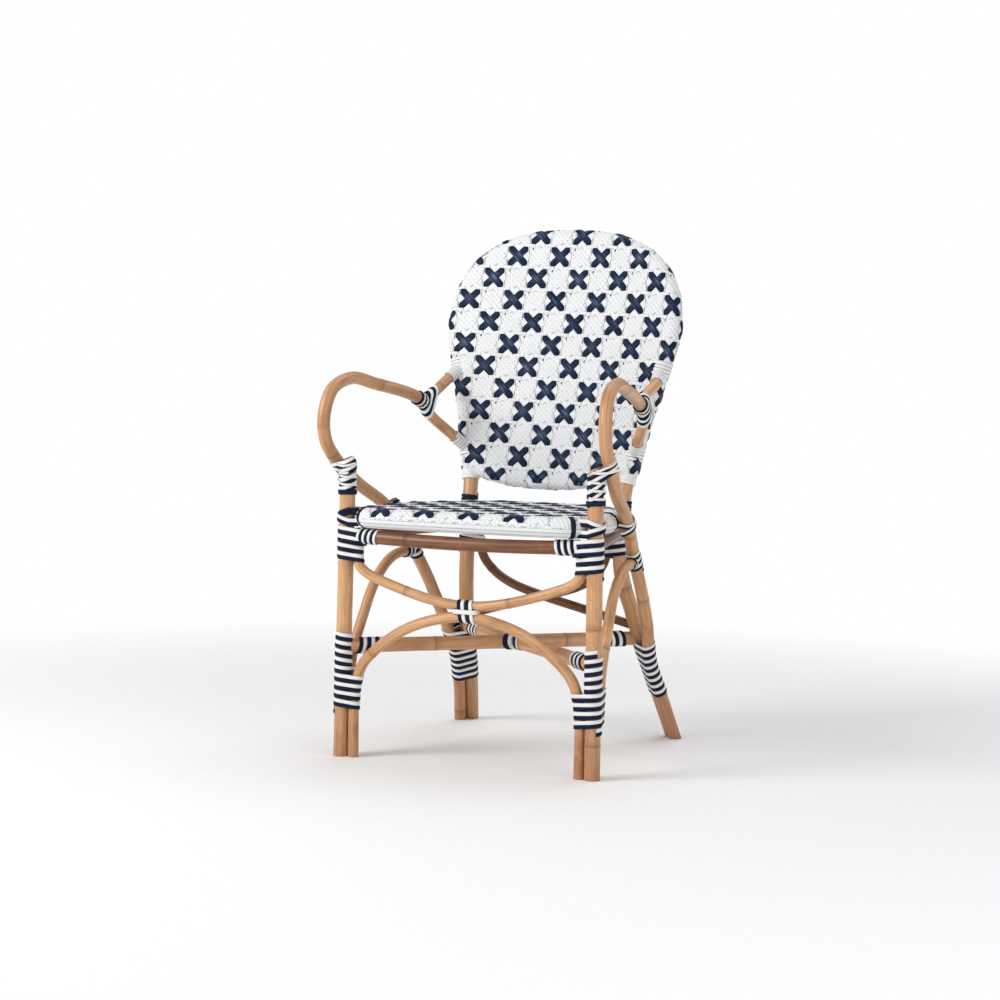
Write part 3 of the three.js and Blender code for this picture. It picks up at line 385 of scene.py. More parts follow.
sides = ((-1, "left"), (1, "right"))
leg_radius, leg_dome, floor_run = 14.0, 13.0, 10.0
leg_x, leg_top_x, leg_y, leg_height = 238.0, 233.0, -230.0, 526.0
source_shift = np.add(*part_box("front_leg_left"))[1] / 2 - leg_y * 0.001
leg = centre_line([(leg_x + 0.1, leg_y, -floor_run), (leg_top_x, leg_y, leg_height)])
add_poles("front_leg", leg, leg_radius, cut_floor=True, round_end=leg_dome)


# Back hoop and rear legs: one stout cane, bent hot, from foot to foot. Above the seat it lies in
# the leaning plane of the back, with a superellipse as its crown.
def back_point(across, rise, out=0.0):
    """Point of the back's plane: across it, up along it and out of its front."""
    return np.array([across, post_y, post_z]) + back_up * rise + back_front * out


def between(start, end, shares):
    """Point from start to end, by a share of the way for each axis."""
    return start + (end - start) * np.asarray(shares)


def at_height(path, height):
    """Point of a centre line at a height, searched from its last point upwards."""
    z = path[::-1, 2] - height
    k = np.flatnonzero(z[:-1] * z[1:] <= 0)[0]
    return between(path[::-1][k], path[::-1][k + 1], z[k] / (z[k] - z[k + 1]))


hoop_radius, lean = 14.0, np.radians(12.2)
back_up = np.array([0, np.sin(lean), np.cos(lean)])
back_front = np.array([0, -np.cos(lean), np.sin(lean)])
post_x, post_y, post_z = 154.0, 119.0, 444.0
hoop_half, widest_rise, crown_rise, roundness = 215.5, 325.0, 176.0, 2.5
foot_x, foot_y = 209.0, 271.0
foot, post = np.array([foot_x, foot_y, 0.0]), back_point(post_x, 0)
hoop_side = [foot + (foot - post) * floor_run / post_z, foot]
for shares in ((0.7, 0.7, 0.795), (0.4, 0.31, 0.565), (0.25, 0.16, 0.45), (0.02, -0.04, 0.27)):
    hoop_side.append(between(post, foot, shares))
hoop_side.append(post)
for rise, out in ((0.12, 0.035), (0.45, 0.341), (0.72, 0.683)):
    hoop_side.append(back_point(post_x + (hoop_half - post_x) * out, widest_rise * rise))
for angle in np.pi / 2 * np.arange(5) / 5:
    across, rise = np.cos(angle) ** (2 / roundness), np.sin(angle) ** (2 / roundness)
    hoop_side.append(back_point(hoop_half * across, widest_rise + crown_rise * rise))
hoop_side = np.array(hoop_side)
crown = back_point(0, widest_rise + crown_rise)
hoop_line = centre_line([*mirror(hoop_side, -1), crown, *hoop_side[::-1]])
rear_leg = centre_line(hoop_side[::-1])
add_pole("back_hoop_and_rear_legs", hoop_line, hoop_radius, cut_floor=True, shade=0.1)

# Lower rail of the back: a thin, sagging cane butted between the posts, hidden in the weave,
# which is drawn round it.
rail_rise, rail_sag, rail_radius = 62.0, 27.0, 10.0
rail_out = hoop_radius - rail_radius
rail_end = at_height(rear_leg, post_z + rail_rise * np.cos(lean))[0]
rail_shares = ((-1, 0), (-0.6, 0.72), (0, 1), (0.6, 0.72), (1, 0))
rail_line = centre_line([
    back_point(rail_end * x, rail_rise - rail_sag * sag, rail_out) for x, sag in rail_shares
])
add_pole("back_lower_rail", rail_line, rail_radius)

# Arm brackets: a thin cane on each side, bent to a V, from high on the hoop out to the arm's rear
# end and back in to the hoop lower down.
arm_half, arm_reach, arm_height, bracket_radius = 262.0, 269.0, 667.0, 10.0
upper_rise, lower_rise = 252.0, 91.0
arm_size = np.array([arm_half, arm_reach, arm_height])
tip = arm_size * (0.826, 0.16, 0.932)
upper, lower = (at_height(rear_leg, post_z + rise * np.cos(lean)) for rise in (upper_rise, lower_rise))
bracket = centre_line([
    upper,
    *(between(tip, upper, shares) for shares in ((0.5, 0.62, 0.62), (0.55, 0.2, 0.3))),
    tip,
    *(between(tip, lower, shares) for shares in ((0.1, 0.16, 0.25), (0.45, 0.5, 0.56))),
    lower,
])
add_poles("arm_bracket", bracket, bracket_radius)

# Arms and braces: a single long cane on each side, from the bracket's tip forward, round the
# front bend, down past the leg's top, back beside the seat and down to the floor by the rear leg.
arm_radius, lap_gap = 11.5, 0.85
lap_x = leg_x_at(leg_height) + leg_radius + arm_radius + lap_gap
arm_shares = (
    (0.841, -0.004, 0.955), (0.917, -0.424, 0.985), (0.958, -0.7, 1), (0.986, -0.925, 0.968),
    (1, -1, 0.9), (1, -0.975, 0.84),
)
brace_shares = (
    (0.94, -0.62, 0.72), (0.885, -0.28, 0.649), (0.832, 0.05, 0.523), (0.812, 0.24, 0.441),
    (0.792, 0.424, 0.342),
)
points = [tip, *(arm_size * share for share in arm_shares), (lap_x, leg_y, leg_height)]
points += [arm_size * share for share in brace_shares]
for height, apart in ((0.36, 1.12), (0.205, 1), (0, 1)):
    spot = at_height(rear_leg, post_z * height)
    along = unit(at_height(rear_leg, post_z * height + 1.1) - spot)
    off = np.array([0.5, -0.866, 0])
    off = unit(off - along * (off @ along))
    points.append(spot + off * (hoop_radius + arm_radius + lap_gap) * apart)
points.append(points[-1] + (points[-2] - points[-1]) * -floor_run / points[-2][2])
arm = centre_line(points)
add_poles("arm_and_brace", arm, arm_radius, cut_floor=True, shade=0.14)


# Seat ring: a bent cane just inside the legs, posts and braces, its ends butted at the back. The
# seat is woven round it, and it hangs on ties that go round the legs and braces.
def outside(radius):
    """How far from a pole's centre line a strand wound on it reaches."""
    return (radius + wrap_fit) / np.cos(np.pi / 10) + strand_thickness + fit


ring_radius, weave_thickness, strand_thickness, wrap_fit, fit = 13.0, 3.2, 1.6, 0.35, 0.3
seat_height, seat_front, seat_rear = 441.0, 251.0, 112.0
ring_height = seat_height - ring_radius - weave_thickness
sleeve_radius = ring_radius + weave_thickness
from_leg, from_post = outside(leg_radius) + sleeve_radius, outside(hoop_radius) + sleeve_radius
post_spot, tie_spot = at_height(rear_leg, ring_height), at_height(arm, ring_height)
ring_side_x = tie_spot[0] - outside(arm_radius) - sleeve_radius
by_leg = np.array([leg_x_at(ring_height) - 0.96 * from_leg, leg_y + 0.28 * from_leg])
by_post = np.array([post_spot[0] - 0.76 * from_post, post_spot[1] - 0.65 * from_post])
plan = [
    (0.3, seat_rear), (by_post[0] * 0.55, seat_rear), by_post,
    ((by_post[0] + ring_side_x) / 2 + 1.1, (by_post[1] + tie_spot[1]) / 2),
    (ring_side_x, tie_spot[1]), by_leg,
]
plan += [(by_leg[0] * x, -seat_front * y) for x, y in ((0.985, 0.91), (0.925, 0.955), (0.82, 0.983))]
ring_side = np.array([(x, y, ring_height) for x, y in plan])
ring_line = centre_line([*mirror(ring_side, -1), (0, -seat_front, ring_height), *ring_side[::-1]])
add_pole("seat_ring", ring_line, ring_radius)


# Stretchers: two stout canes low between the legs, from each front leg to the far rear leg,
# lapped where they cross.
def trimmed(path, start, end):
    """A centre line without its first and last millimetres."""
    along = run_of(path)
    return path[(along >= start) & (along <= along[-1] - end)]


stretcher_radius, stretcher_height, stretcher_trim = 13.0, 195.0, 8
front_spot = np.array([leg_x_at(stretcher_height), leg_y, stretcher_height])
rear_spot = at_height(rear_leg, stretcher_height)
stretcher = centre_line([front_spot, mirror(rear_spot, -1)])
add_poles("stretcher_from", trimmed(stretcher, stretcher_trim, stretcher_trim), stretcher_radius)

# Front arch: a thin cane from foot to foot, bent up to a round arch between the front legs. It
# stands on the floor and is bound to the legs' feet.
arch_radius, arch_height, arch_spring = 9.5, 261.0, 116.0
beside = leg_radius + arch_radius + fit
spring_x = leg_x_at(arch_spring) - beside
arch_side = [(leg_x - beside, leg_y, 0), (spring_x, leg_y, arch_spring)]
for across, rise in ((0.975, 0.18), (0.91, 0.38), (0.65, 0.71), (0.38, 0.9)):
    arch_side.append((spring_x * across, leg_y, arch_spring + (arch_height - arch_spring) * rise))
arch_line = centre_line([*mirror(arch_side, -1), (0, leg_y, arch_height), *mirror(arch_side, 1)[::-1]])
add_pole("front_arch", arch_line, arch_radius, cut_floor=True)

# Front bow: a thinner cane from leg to leg, bent down until it lies on the arch's crown. Its ends
# stand beside the legs and are bound to them, and its middle is bound to the arch.
bow_radius, bow_top = 9.0, 372.0
bow_middle = arch_height + arch_radius + bow_radius + fit
bow_end = leg_x_at(bow_top) - leg_radius - bow_radius - fit
bow_side = [(bow_end, leg_y, bow_top)]
for across, rise in ((1, 0.86), (0.985, 0.66), (0.93, 0.53), (0.78, 0.38), (0.32, 0.08)):
    bow_side.append((bow_end * across, leg_y, bow_middle + (bow_top - bow_middle) * rise))
bow_line = centre_line([*mirror(bow_side, -1), (0, leg_y, bow_middle), *mirror(bow_side, 1)[::-1]])
add_pole("front_bow", bow_line, bow_radius)


# Aprons: darker brown canes right under the seat, butted between the legs and posts. The front
# one is thicker, bows forward and sags a little.
def apron_point(across, bend):
    """Point of the front apron, by how far across it is and its share of the bow and sag."""
    return np.array([across, leg_y - apron_bow * bend, apron_height - apron_sag * bend])


brown = rattan("rattan_brown", "rattan_dark", linear(146, 90, 48), linear(108, 61, 27), linear(62, 31, 12))
apron_height, apron_sag, apron_bow = 393.0, 5.0, 16.0
front_apron_radius, apron_radius = 12.0, 10.0
front_trim, leg_trim, post_trim = 10, 9, 8
apron_x, apron_rear = leg_x_at(apron_height), at_height(rear_leg, apron_height)
apron_bends = ((-apron_x, 0), (-leg_x * 0.5, 0.75), (0, 1), (leg_x * 0.5, 0.75), (apron_x, 0))
front_apron_line = centre_line([apron_point(across, bend) for across, bend in apron_bends])
add_pole("front_apron", trimmed(front_apron_line, front_trim, front_trim), front_apron_radius, brown)
rear_apron_line = centre_line([mirror(apron_rear, -1), apron_rear])
add_pole("rear_apron", trimmed(rear_apron_line, post_trim, post_trim), apron_radius, brown)
side_apron_line = centre_line([(apron_x, leg_y, apron_height), apron_rear])
add_poles("side_apron", trimmed(side_apron_line, leg_trim, post_trim), apron_radius, brown)

# Side braces: a thin cane on each side that springs from behind the front foot and bends back
# up to the arm's brace under the seat.
brace_radius, brace_foot, brace_top, brace_trim = 9.5, 100.0, 349.0, 6
start = np.array([leg_x_at(brace_foot), leg_y + leg_radius + brace_radius + fit, brace_foot])
end = at_height(arm, brace_top)
bend_shares = (
    (0, 0.02, 0.18), (0.02, 0.06, 0.33), (0.2, 0.22, 0.6), (0.35, 0.34, 0.77), (0.5, 0.51, 0.91),
    (0.68, 0.7, 0.985),
)
brace = centre_line([start, *(between(start, end, shares) for shares in bend_shares), end])
add_poles("side_brace", trimmed(brace, 0, brace_trim), brace_radius)

# Rear cross: two thin dark canes between the rear legs, each bent from under the seat on one side
# to the stretcher's end on the other, one in front of the other where they cross.
cross_radius, cross_top, cross_middle, cross_seat = 8.5, 376.0, 266.0, 1.4
cross_foot = stretcher_height + stretcher_radius + cross_radius + cross_seat
cross_apart, cross_trim = cross_radius + fit / 2 + 0.55, 6
cross_shares = ((0.02, 0.05, 0.2), (0.09, 0.15, 0.42), (0.25, 0.4, 0.64))
cross_lines = {}
for side, tag in sides:
    top, foot = mirror(at_height(rear_leg, cross_top), side), mirror(at_height(rear_leg, cross_foot), -side)
    meeting = np.array([0, (top[1] + foot[1]) / 2, cross_middle])
    middle = meeting + (0, side * cross_apart, 0)
    start = top - (side * (hoop_radius + cross_radius + cross_seat), 0, 0)
    start[2] = cross_top
    cross_lines[side] = centre_line([
        start,
        *(between(start, meeting, shares) for shares in cross_shares),
        between(start, middle, (0.5, 0.75, 0.81)),
        middle,
        between(middle, foot, (0.5, 0.35, 0.48)),
        foot,
    ])
    add_pole(f"rear_cross_{tag}", trimmed(cross_lines[side], 0, cross_trim), cross_radius, brown)


# Foot bindings at the front: a navy and a white strand of plastic-coated cane, wound side by side
# round the leg and the feet of the side brace and the arch. Each strand is crowned, taut over the
# gaps between the poles and lies against its neighbour.
def strand(name, light, dark, deep, shine, gloss):
    """Coated strand: fine lines along it, a little colour change from place to place, and painted
    shade darkening its edges.
    """
    material, t = new_tree(name)
    place = t.attribute("along", "Vector")
    lines = t.noise(t.stretch(place, (0.02, 1.0, 1.0)), 900.0, 3.0, 0.6)
    tone = t.noise(t.stretch(place, (0.25, 1.0, 1.0)), 60.0, 3.0, 0.6)
    edge = t.attribute("edge")
    colour = t.mix(lines.span(0.35, 0.75), dark, light)
    colour = t.mix(tone.span(0.5, 0.8) * 0.5, colour, dark)
    # Painted shade: the strand's edges, where it meets its neighbour, are darkened towards the deep colour.
    colour = t.mix(edge.span(0.75, 1.0) * 0.7, colour, deep)
    rough = shine + 0.2 * tone
    t.finish(t.surface(colour, rough, lines, (0.4, 0.0004), Specular_IOR_Level=gloss))
    return material


def cross_plane(axis):
    """Two directions square to an axis."""
    guide = np.array([0.0, 1, 0]) if abs(axis[0]) > np.sqrt(0.5) else np.array([1.0, 0, 0])
    u = unit(guide - axis * (guide @ axis))
    return u, np.cross(axis, u)


def taut_table(poles, origin, axis, places, start_angle):
    """The taut outline round poles in planes square to an axis, at even shares of its length.

    Each pole is a row of balls. A plane cuts them to discs, and in every direction the outline
    touches the disc that reaches furthest. A pole of one radius goes on past its ends; one with
    a radius for each ball stops there. Returns points (places, shares, 2) and normals.
    """
    u, v = cross_plane(axis)
    angles = start_angle + 2 * np.pi * np.arange(outline_ways) / outline_ways
    toward = np.stack([np.cos(angles), np.sin(angles)])
    row = np.arange(len(places))[:, None]
    discs, reach = [], []
    for line, radius in poles:
        off = line - origin
        within = np.abs(off @ axis) < np.abs(places).max() + np.ptp(places) + ball_reach
        goes_on = np.ndim(radius) == 0
        radius = np.broadcast_to(radius, len(line))[within]
        off = off[within]
        if len(off) == 0:
            continue
        deep = np.abs((off @ axis)[None] - places[:, None])
        nearest = deep.min(1, keepdims=True)
        deep = deep - np.where(goes_on & (nearest > past_end), nearest, 0)
        cut = np.sqrt(np.maximum(radius**2 - deep**2, 0))
        cut[deep >= np.broadcast_to(radius, deep.shape)] = no_disc
        flat = np.stack([off @ u, off @ v], -1)
        far = (flat @ toward)[None] + cut[..., None]
        best = far.argmax(1)
        reach.append(np.take_along_axis(far, best[:, None], 1)[:, 0])
        discs.append(flat[best] + cut[row, best][..., None] * toward.T)
    best = np.argmax(reach, 0)
    touch = np.take_along_axis(np.array(discs), best[None, ..., None], 0)[0]
    closed = np.concatenate([touch, touch[:, :1]], 1)
    length = np.cumsum(np.linalg.norm(np.diff(closed, axis=1), axis=-1), 1)
    length = np.concatenate([np.zeros((len(places), 1)), length], 1) / length[:, -1:]
    share = np.arange(turn_steps + 1) / turn_steps
    k = np.clip((length[:, None] <= share[:, None] + 1e-12).sum(-1) - 1, 0, outline_ways - 1)
    low, high = length[row, k], length[row, k + 1]
    part = ((share - low) / np.maximum(high - low, 1e-9))[..., None]
    points = closed[row, k] * (1 - part) + closed[row, k + 1] * part
    run = np.roll(points[:, :-1], -1, 1) - np.roll(points[:, :-1], 1, 1)
    normals = unit(np.stack([run[..., 1], -run[..., 0]], -1))
    return points, np.concatenate([normals, normals[:, :1]], 1)


def outline_spots(held, origin, axis, start_angle, place, share):
    """Points and outward directions on the taut outline, for places on the axis and shares of a turn."""
    u, v = cross_plane(axis)
    places = np.arange(place.min() - 2 * table_step, place.max() + 3 * table_step, table_step)
    at = (place - places[0]) / table_step
    low = np.clip(at.astype(int), 0, len(places) - 2)
    part = (at - low)[..., None]
    turned = np.broadcast_to(share * turn_steps, low.shape)
    column = np.clip(turned.astype(int), 0, turn_steps - 1)
    rest = (turned - column)[..., None]
    found = []
    for table in taut_table(held, origin, axis, places, start_angle):
        here = table[low, column] * (1 - part) + table[low + 1, column] * part
        there = table[low, column + 1] * (1 - part) + table[low + 1, column + 1] * part
        flat = here * (1 - rest) + there * rest
        found.append(flat[..., :1] * u + flat[..., 1:] * v)
    return origin + place[..., None] * axis + found[0], unit(found[1])


def strand_piece(name, node, strands, colours, side=1):
    """Strands as one piece: each is its rows of section points, its width and its colour."""
    points, quads, caps, which, layers = [], [], [], [], {"along": [], "edge": [], "tip": []}
    seed = np.random.default_rng(sum(map(ord, name)))
    count, base = len(strand_profile), 0
    for number, (rows, width, colour) in enumerate(strands):
        last = (len(rows) - 1) * count
        points.append(rows.reshape(-1, 3))
        quads.append(grid_faces(len(rows), count, True)[:, ::-1] + base)
        caps.append(np.array([np.arange(count), np.arange(count)[::-1] + last]) + base)
        base += len(rows) * count
        which.append((np.full(len(quads[-1]), colour), np.full(2, colour)))
        along = np.empty_like(rows)
        along[..., 0], along[..., 2] = run_of(rows[:, count // 2])[:, None], 3.0 * number
        along[..., 1] = strand_profile[:, 0] * width / 2
        layers["along"].append((along + seed.uniform(0, 500, 3)).reshape(-1, 3) * 0.001)
        # The edge layer steers the painted shade on each strand's edges.
        layers["edge"].append(np.tile(np.abs(strand_profile[:, 0]), len(rows)))
        layers["tip"].append(np.full(len(rows) * count, 0.5))
    points, faces = np.vstack(points) * (side, 1, 1), [np.vstack(quads), np.vstack(caps)]
    which = np.concatenate([w[0] for w in which] + [w[1] for w in which])
    if side < 0:
        faces = [f[:, ::-1] for f in faces]
    layers = {key: np.concatenate(values) for key, values in layers.items()}
    add_mesh(name, node, points, faces, colours, layers, which, sharp_angle=60)


# The third colour of each strand is the painted shade for its edges.
navy = strand("strand_navy", linear(36, 46, 74), linear(9, 16, 36), linear(3, 6, 14), 0.34, 0.08)
white = strand("strand_white", linear(238, 238, 237), linear(226, 225, 222), linear(140, 138, 134), 0.4, 0.4)
pair_width, pair_pitch, edge_gap = 14.0, 14.8, 0.12
strand_profile = np.array([
    (-1, 0), (-0.99, 0.5), (-0.86, 0.82), (-0.5, 0.98), (0, 1.04), (0.5, 0.98), (0.86, 0.82),
    (0.99, 0.5), (1, 0),
])
turn_steps, table_step = 44, 1.5
outline_ways, ball_reach, past_end, no_disc = 96, 60, 2, -1e6


def wound(bundle, origin, axis, start, turns, start_angle=0.0, gap=wrap_fit, width=pair_width,
          pitch=pair_pitch, count=2):
    """Strands wound side by side round a bundle of (centre line, radius, range of places held).

    The helix climbs one pitch a turn over the taut outline; the profile is carried along it.
    """
    axis = unit(np.asarray(axis, float))
    k = np.arange(int(round(turns * turn_steps)) + 1)
    whole_turns = int(np.ceil(turns))
    turn = np.minimum(k // turn_steps, whole_turns - 1)
    each = width / count
    strands = []
    for n in range(count):
        across = start + each * (n + 0.5) + strand_profile[:, 0] * (each / 2 - edge_gap)
        rows = np.empty((len(k), len(strand_profile), 3))
        for number in range(whole_turns):
            mine = turn == number
            middle = start + pitch * (number + 0.5)
            held = [
                (line, radius) for line, radius, *within in bundle
                if not within or within[0][0] <= middle <= within[0][1]
            ]
            share = (k[mine, None] - number * turn_steps) / turn_steps
            place = across[None] + pitch * (k[mine, None] / turn_steps)
            spot, out = outline_spots(held, origin, axis, start_angle, place, share)
            rows[mine] = spot + out * (gap + strand_profile[:, 1] * strand_thickness)[None, :, None]
        strands.append((rows, each, n))
    return strands


def part_of(path, start, end=1.0):
    """The part of a centre line between two shares of its length."""
    return path[int(len(path) * start): int(len(path) * end)]


def add_binding(node, bundle, origin, axis, start, turns, start_angle=0.0, gap=wrap_fit, side=1,
                width=pair_width, pitch=pair_pitch, colours=(navy, white), extra=()):
    """A wound binding in place of a CAD node, with extra straps over it."""
    strands = wound(bundle, origin, axis, start, turns, start_angle, gap, width, pitch, len(colours))
    strand_piece(node + "_strands", node, [*strands, *extra], colours, side)


def bind_sides(name, *place, **form):
    """The same binding on each side of the chair, from its right-hand place."""
    for side, tag in sides:
        add_binding(f"{name}_{tag}", *place, side=side, **form)


up_axis = np.array([0.0, 0, 1])
leg_foot = np.array([leg_x, leg_y, 0.0])
foot_low, foot_turns, brace_held = 75, 9, (86, 156)
foot_bundle = [
    (leg, leg_radius),
    (part_of(brace, 0, 0.5), brace_radius, brace_held),
    (centre_line(arch_side), arch_radius, (0, arch_spring + pair_width)),
]
bind_sides("front_foot_binding", foot_bundle, leg_foot, up_axis, foot_low, foot_turns, -np.pi / 4)


# Foot bindings at the rear: the same pair of strands round the rear leg and the arm's brace beside
# it, square to the leaning leg.
def on_line(path, height):
    """Place of a centre line at a height, and its direction upwards there."""
    here = at_height(path, height)
    return here, unit(at_height(path, height + pair_pitch) - here)


rear_foot_low, rear_foot_turns = 91, 8
rear_foot_bundle = [(part_of(rear_leg, 0.5), hoop_radius), (part_of(arm, 0.62), arm_radius)]
spot = on_line(rear_leg, rear_foot_low)
bind_sides("rear_foot_binding", rear_foot_bundle, *spot, 0, rear_foot_turns, np.pi / 2)

# Top bindings: at the front four turns of the pair round the leg, the bow's end and the apron's
# end, at the rear two round the rear leg and the top of the rear cross, all under the seat.
three_turns = 2 * pair_pitch + pair_width
front_top_low = apron_height - front_apron_radius - fit - three_turns
rear_top_low = apron_height - apron_radius - fit - three_turns
bow_held_to, front_top_turns, rear_top_turns, rear_top_gap, no_end = bow_top - 7, 4, 2, 0.6, 9e9
points_held = 60
apron_end_x, apron_end_y, apron_end_radius = bow_end - 1, leg_y - 1.6, 13.2
apron_end_low, apron_end_high = 370, 412
apron_end = np.linspace(apron_end_low, apron_end_high, 28)[:, None] * up_axis
apron_end = apron_end + (apron_end_x, apron_end_y, 0)
front_top_bundle = [
    (leg, leg_radius),
    (centre_line(bow_side), bow_radius, (0, bow_held_to)),
    (apron_end, apron_end_radius, (bow_held_to, no_end)),
]
cross_end = cross_lines[1][:points_held]
rear_top_bundle = [(part_of(rear_leg, 0.5), hoop_radius), (cross_end, cross_radius)]
bind_sides("front_top_binding", front_top_bundle, leg_foot, up_axis, front_top_low, front_top_turns)
spot = on_line(rear_leg, rear_top_low)
bind_sides("rear_top_binding", rear_top_bundle, *spot, 0, rear_top_turns, gap=rear_top_gap)


# Arm bindings at the front: a narrower pair wound slantwise round the leg's top and the arm that
# passes it, with four white laces over it and one white band round the leg below.
def strap(line, out, width, colour, lift=0.0):
    """A strand along a line of points with outward directions, lifted off them."""
    across = unit(np.cross(out, np.gradient(line, axis=0)))
    rows = line[:, None] + across[:, None] * (strand_profile[:, :1] * (width / 2 - edge_gap))
    rows = rows + out[:, None] * (lift + strand_profile[:, 1:] * strand_thickness)
    return rows, width, colour


dome_share = np.clip(1 - (leg[-1, 2] - leg[:, 2]) / leg_dome, 0, 1)
top_bundle = [
    (leg, leg_radius * np.sqrt(1 - 0.9 * dome_share**2)),
    (part_of(arm, 0.2, 0.6), arm_radius, (-2, no_end)),
]
top_middle = at_height(leg, leg_height - 26)
top_low, top_turns, top_width, top_pitch = -31, 4, 12.4, 12.6
lace_share, lace_low, lace_top, lace_step = np.linspace(0.1, 0.6, 40), -17.5, 23, 11.5
lace_width, lace_lift, lace_slope, lace_middle, lace_shift = 4.6, 1.9, 48, 0.3, 3.5
band_low, band_turns = leg_height - 63, 1.1
leg_band = {"gap": 1.3, "width": 8.5, "pitch": 0.5, "count": 1}
for side, tag in sides:
    axis = unit(np.array([-0.4 * side, -0.4, 0.9]))
    lace_start = (0.93 + 0.22 * side) * np.pi
    laces = []
    for number in range(4):
        along = lace_low - side * (lace_shift + lace_slope * (lace_share - lace_middle))
        along = along + lace_step * number
        along = np.minimum(along, lace_top)
        poles = [row[:2] for row in top_bundle] if number > 1 + (side > 0) else top_bundle[:1]
        line, out = outline_spots(poles, top_middle, axis, lace_start, along, lace_share)
        laces.append(strap(line, out, lace_width, 1, lace_lift))
    laces += wound(top_bundle[:1], leg_foot, up_axis, band_low, band_turns, **leg_band)
    add_binding(
        f"arm_front_binding_{tag}", top_bundle, top_middle, axis, top_low, top_turns, np.pi / 2,
        side=side, width=top_width, pitch=top_pitch, extra=laces,
    )

# Arm bindings at the rear: a narrow pair round the fork where the bracket's tip meets the arm,
# wound square to the fork's middle line, which is turned a little to the arm's own.
fork = unit(unit(bracket[0] - tip) + unit(bracket[-1] - tip)) + 0.7 * unit(arm[0] - arm[16])
arm_end = (arm[:points_held], arm_radius)
fork_bundle = [arm_end, (bracket, np.full(len(bracket), bracket_radius))]
fork_low, fork_turns, fork_gap = -35, 4.1, 1.1
narrow_pair = {"width": 11.4, "pitch": 11.6}
for side, tag in sides:
    add_binding(
        f"arm_back_binding_{tag}", fork_bundle, tip, fork, fork_low, fork_turns, (1 + side) * np.pi / 2,
        gap=fork_gap, side=side, **narrow_pair,
    )

# Wraps at the bracket's ends: one white strand round each end and one round the woven hoop beside
# it. They hold the bracket to the back.
wrap = {"width": 6.4, "pitch": 6.5, "count": 1}
tip_low, tip_turns, hoop_low, hoop_turns, hoop_gap = 13.0, 4.6, -16.5, 4.4, 1.0
wraps = []
for end in (bracket, bracket[::-1]):
    held = [(end[:points_held], bracket_radius)]
    wraps += wound(held, end[0], end[14] - end[4], tip_low, tip_turns, **wrap)
    k = np.linalg.norm(rear_leg - end[0], axis=1).argmin()
    held = [(rear_leg[k - 16: k + 16], hoop_radius + weave_thickness)]
    axis = rear_leg[k - 1] - rear_leg[k + 1]
    wraps += wound(held, rear_leg[k], axis, hoop_low, hoop_turns, gap=hoop_gap, **wrap)
for side, tag in sides:
    strand_piece(f"bracket_end_wraps_{tag}", None, wraps, (white,), side)

# Brace bindings: the pair round the arm's brace where the side brace ends on it, and a narrower
# pair round the side brace's own end.
arm_below = part_of(arm, 0.5)
end_low, end_turns, brace_low, brace_turns = -40, 2, -1.5 * pair_pitch, 3
held, end_run = [(brace[-points_held:], brace_radius)], brace[-1] - brace[-30]
brace_end = wound(held, brace[-1], end_run, end_low, end_turns, **narrow_pair)
held = [(arm_below, arm_radius)]
spot = on_line(arm, brace_top)
bind_sides("brace_end_binding", held, *spot, brace_low, brace_turns, extra=brace_end)

# Stub bindings: three turns of the pair round each end of the two stretchers, wound square to the
# cane from close beside the leg inwards.
crossing_share = stretcher[0, 0] / (stretcher[0, 0] - stretcher[-1, 0])
crossing = stretcher[0] + (stretcher[-1] - stretcher[0]) * crossing_share
stub_turns = 3
for place, path, spot, start in (
    ("front", stretcher, front_spot, outside(leg_radius)),
    ("rear", mirror(stretcher, -1), rear_spot, hoop_radius + arm_radius),
):
    held = [(path, stretcher_radius)]
    bind_sides(f"{place}_stub_binding", held, spot, crossing - spot, start, stub_turns)

# Apron bindings: four turns of a narrow pair round each end of the front apron, wound from close
# beside the leg inwards.
apron_turns, apron_width, apron_pitch = 4, 11.2, 11.4
apron_spot = front_apron_line[-1]
apron_run = part_of(front_apron_line, 0.875)[0] - apron_spot
held = [(front_apron_line, front_apron_radius)]
bind_sides(
    "apron_binding", held, apron_spot, apron_run, outside(leg_radius), apron_turns,
    width=apron_width, pitch=apron_pitch,
)

# Seat ties: at each front leg and brace two pairs of strands that cross over the pole and go in
# round the seat ring, with a short band round the ring. One pair on the left front leg is all navy.
# At each rear leg the tie is one navy strand, wound close.
tie_width, tie_apart, tie_slope, tie_spread = 6.8, 3.4, 52, 9.6
tie_over, ring_band_low, ring_band_turns = 2.1, -7.0, 1.2
ring_band = {"gap": 1.2, "width": 9.0, "pitch": 0.5, "count": 1}
ring_right = ring_line[ring_line[:, 0] > 0]
ring_stack = np.linspace(-12, 12, 25)[:, None] * up_axis
for place, path, radius, shares, band_from in (
    ("front", leg, leg_radius, (0.19, 0.81, 90), 8),
    ("side", arm_below, arm_radius, (0.27, 0.73, 80), 9),
):
    spot, axis = on_line(path, ring_height)
    k = np.linalg.norm(ring_right - spot, axis=1).argmin()
    held = [(path, radius), (ring_right[k] + ring_stack, ring_radius)]
    inner = np.arctan2(*(ring_right[k] - spot)[1::-1])
    share, run = np.linspace(*shares), ring_right[k - 9] - ring_right[k - 7]
    round_ring, band_spot = [(ring_right, sleeve_radius)], ring_right[k - band_from]
    band = wound(round_ring, band_spot, run, ring_band_low, ring_band_turns, **ring_band)
    for side, tag in sides:
        straps = []
        for down, lift in ((1, wrap_fit), (-1, tie_over)):
            upper = 0 if side < 0 and place == "front" and down > 0 else 1
            for offset, colour in ((tie_apart, upper), (-tie_apart, 0)):
                along = down * np.clip(tie_slope * (0.5 - share), -tie_spread, tie_spread) + offset
                line, out = outline_spots(held, spot, axis, inner, along, share)
                straps.append(strap(line, out, tie_width, colour, lift))
        node = f"seat_tie_{place}_{tag}"
        strand_piece(node + "_strands", node, straps + band, (navy, white), side)
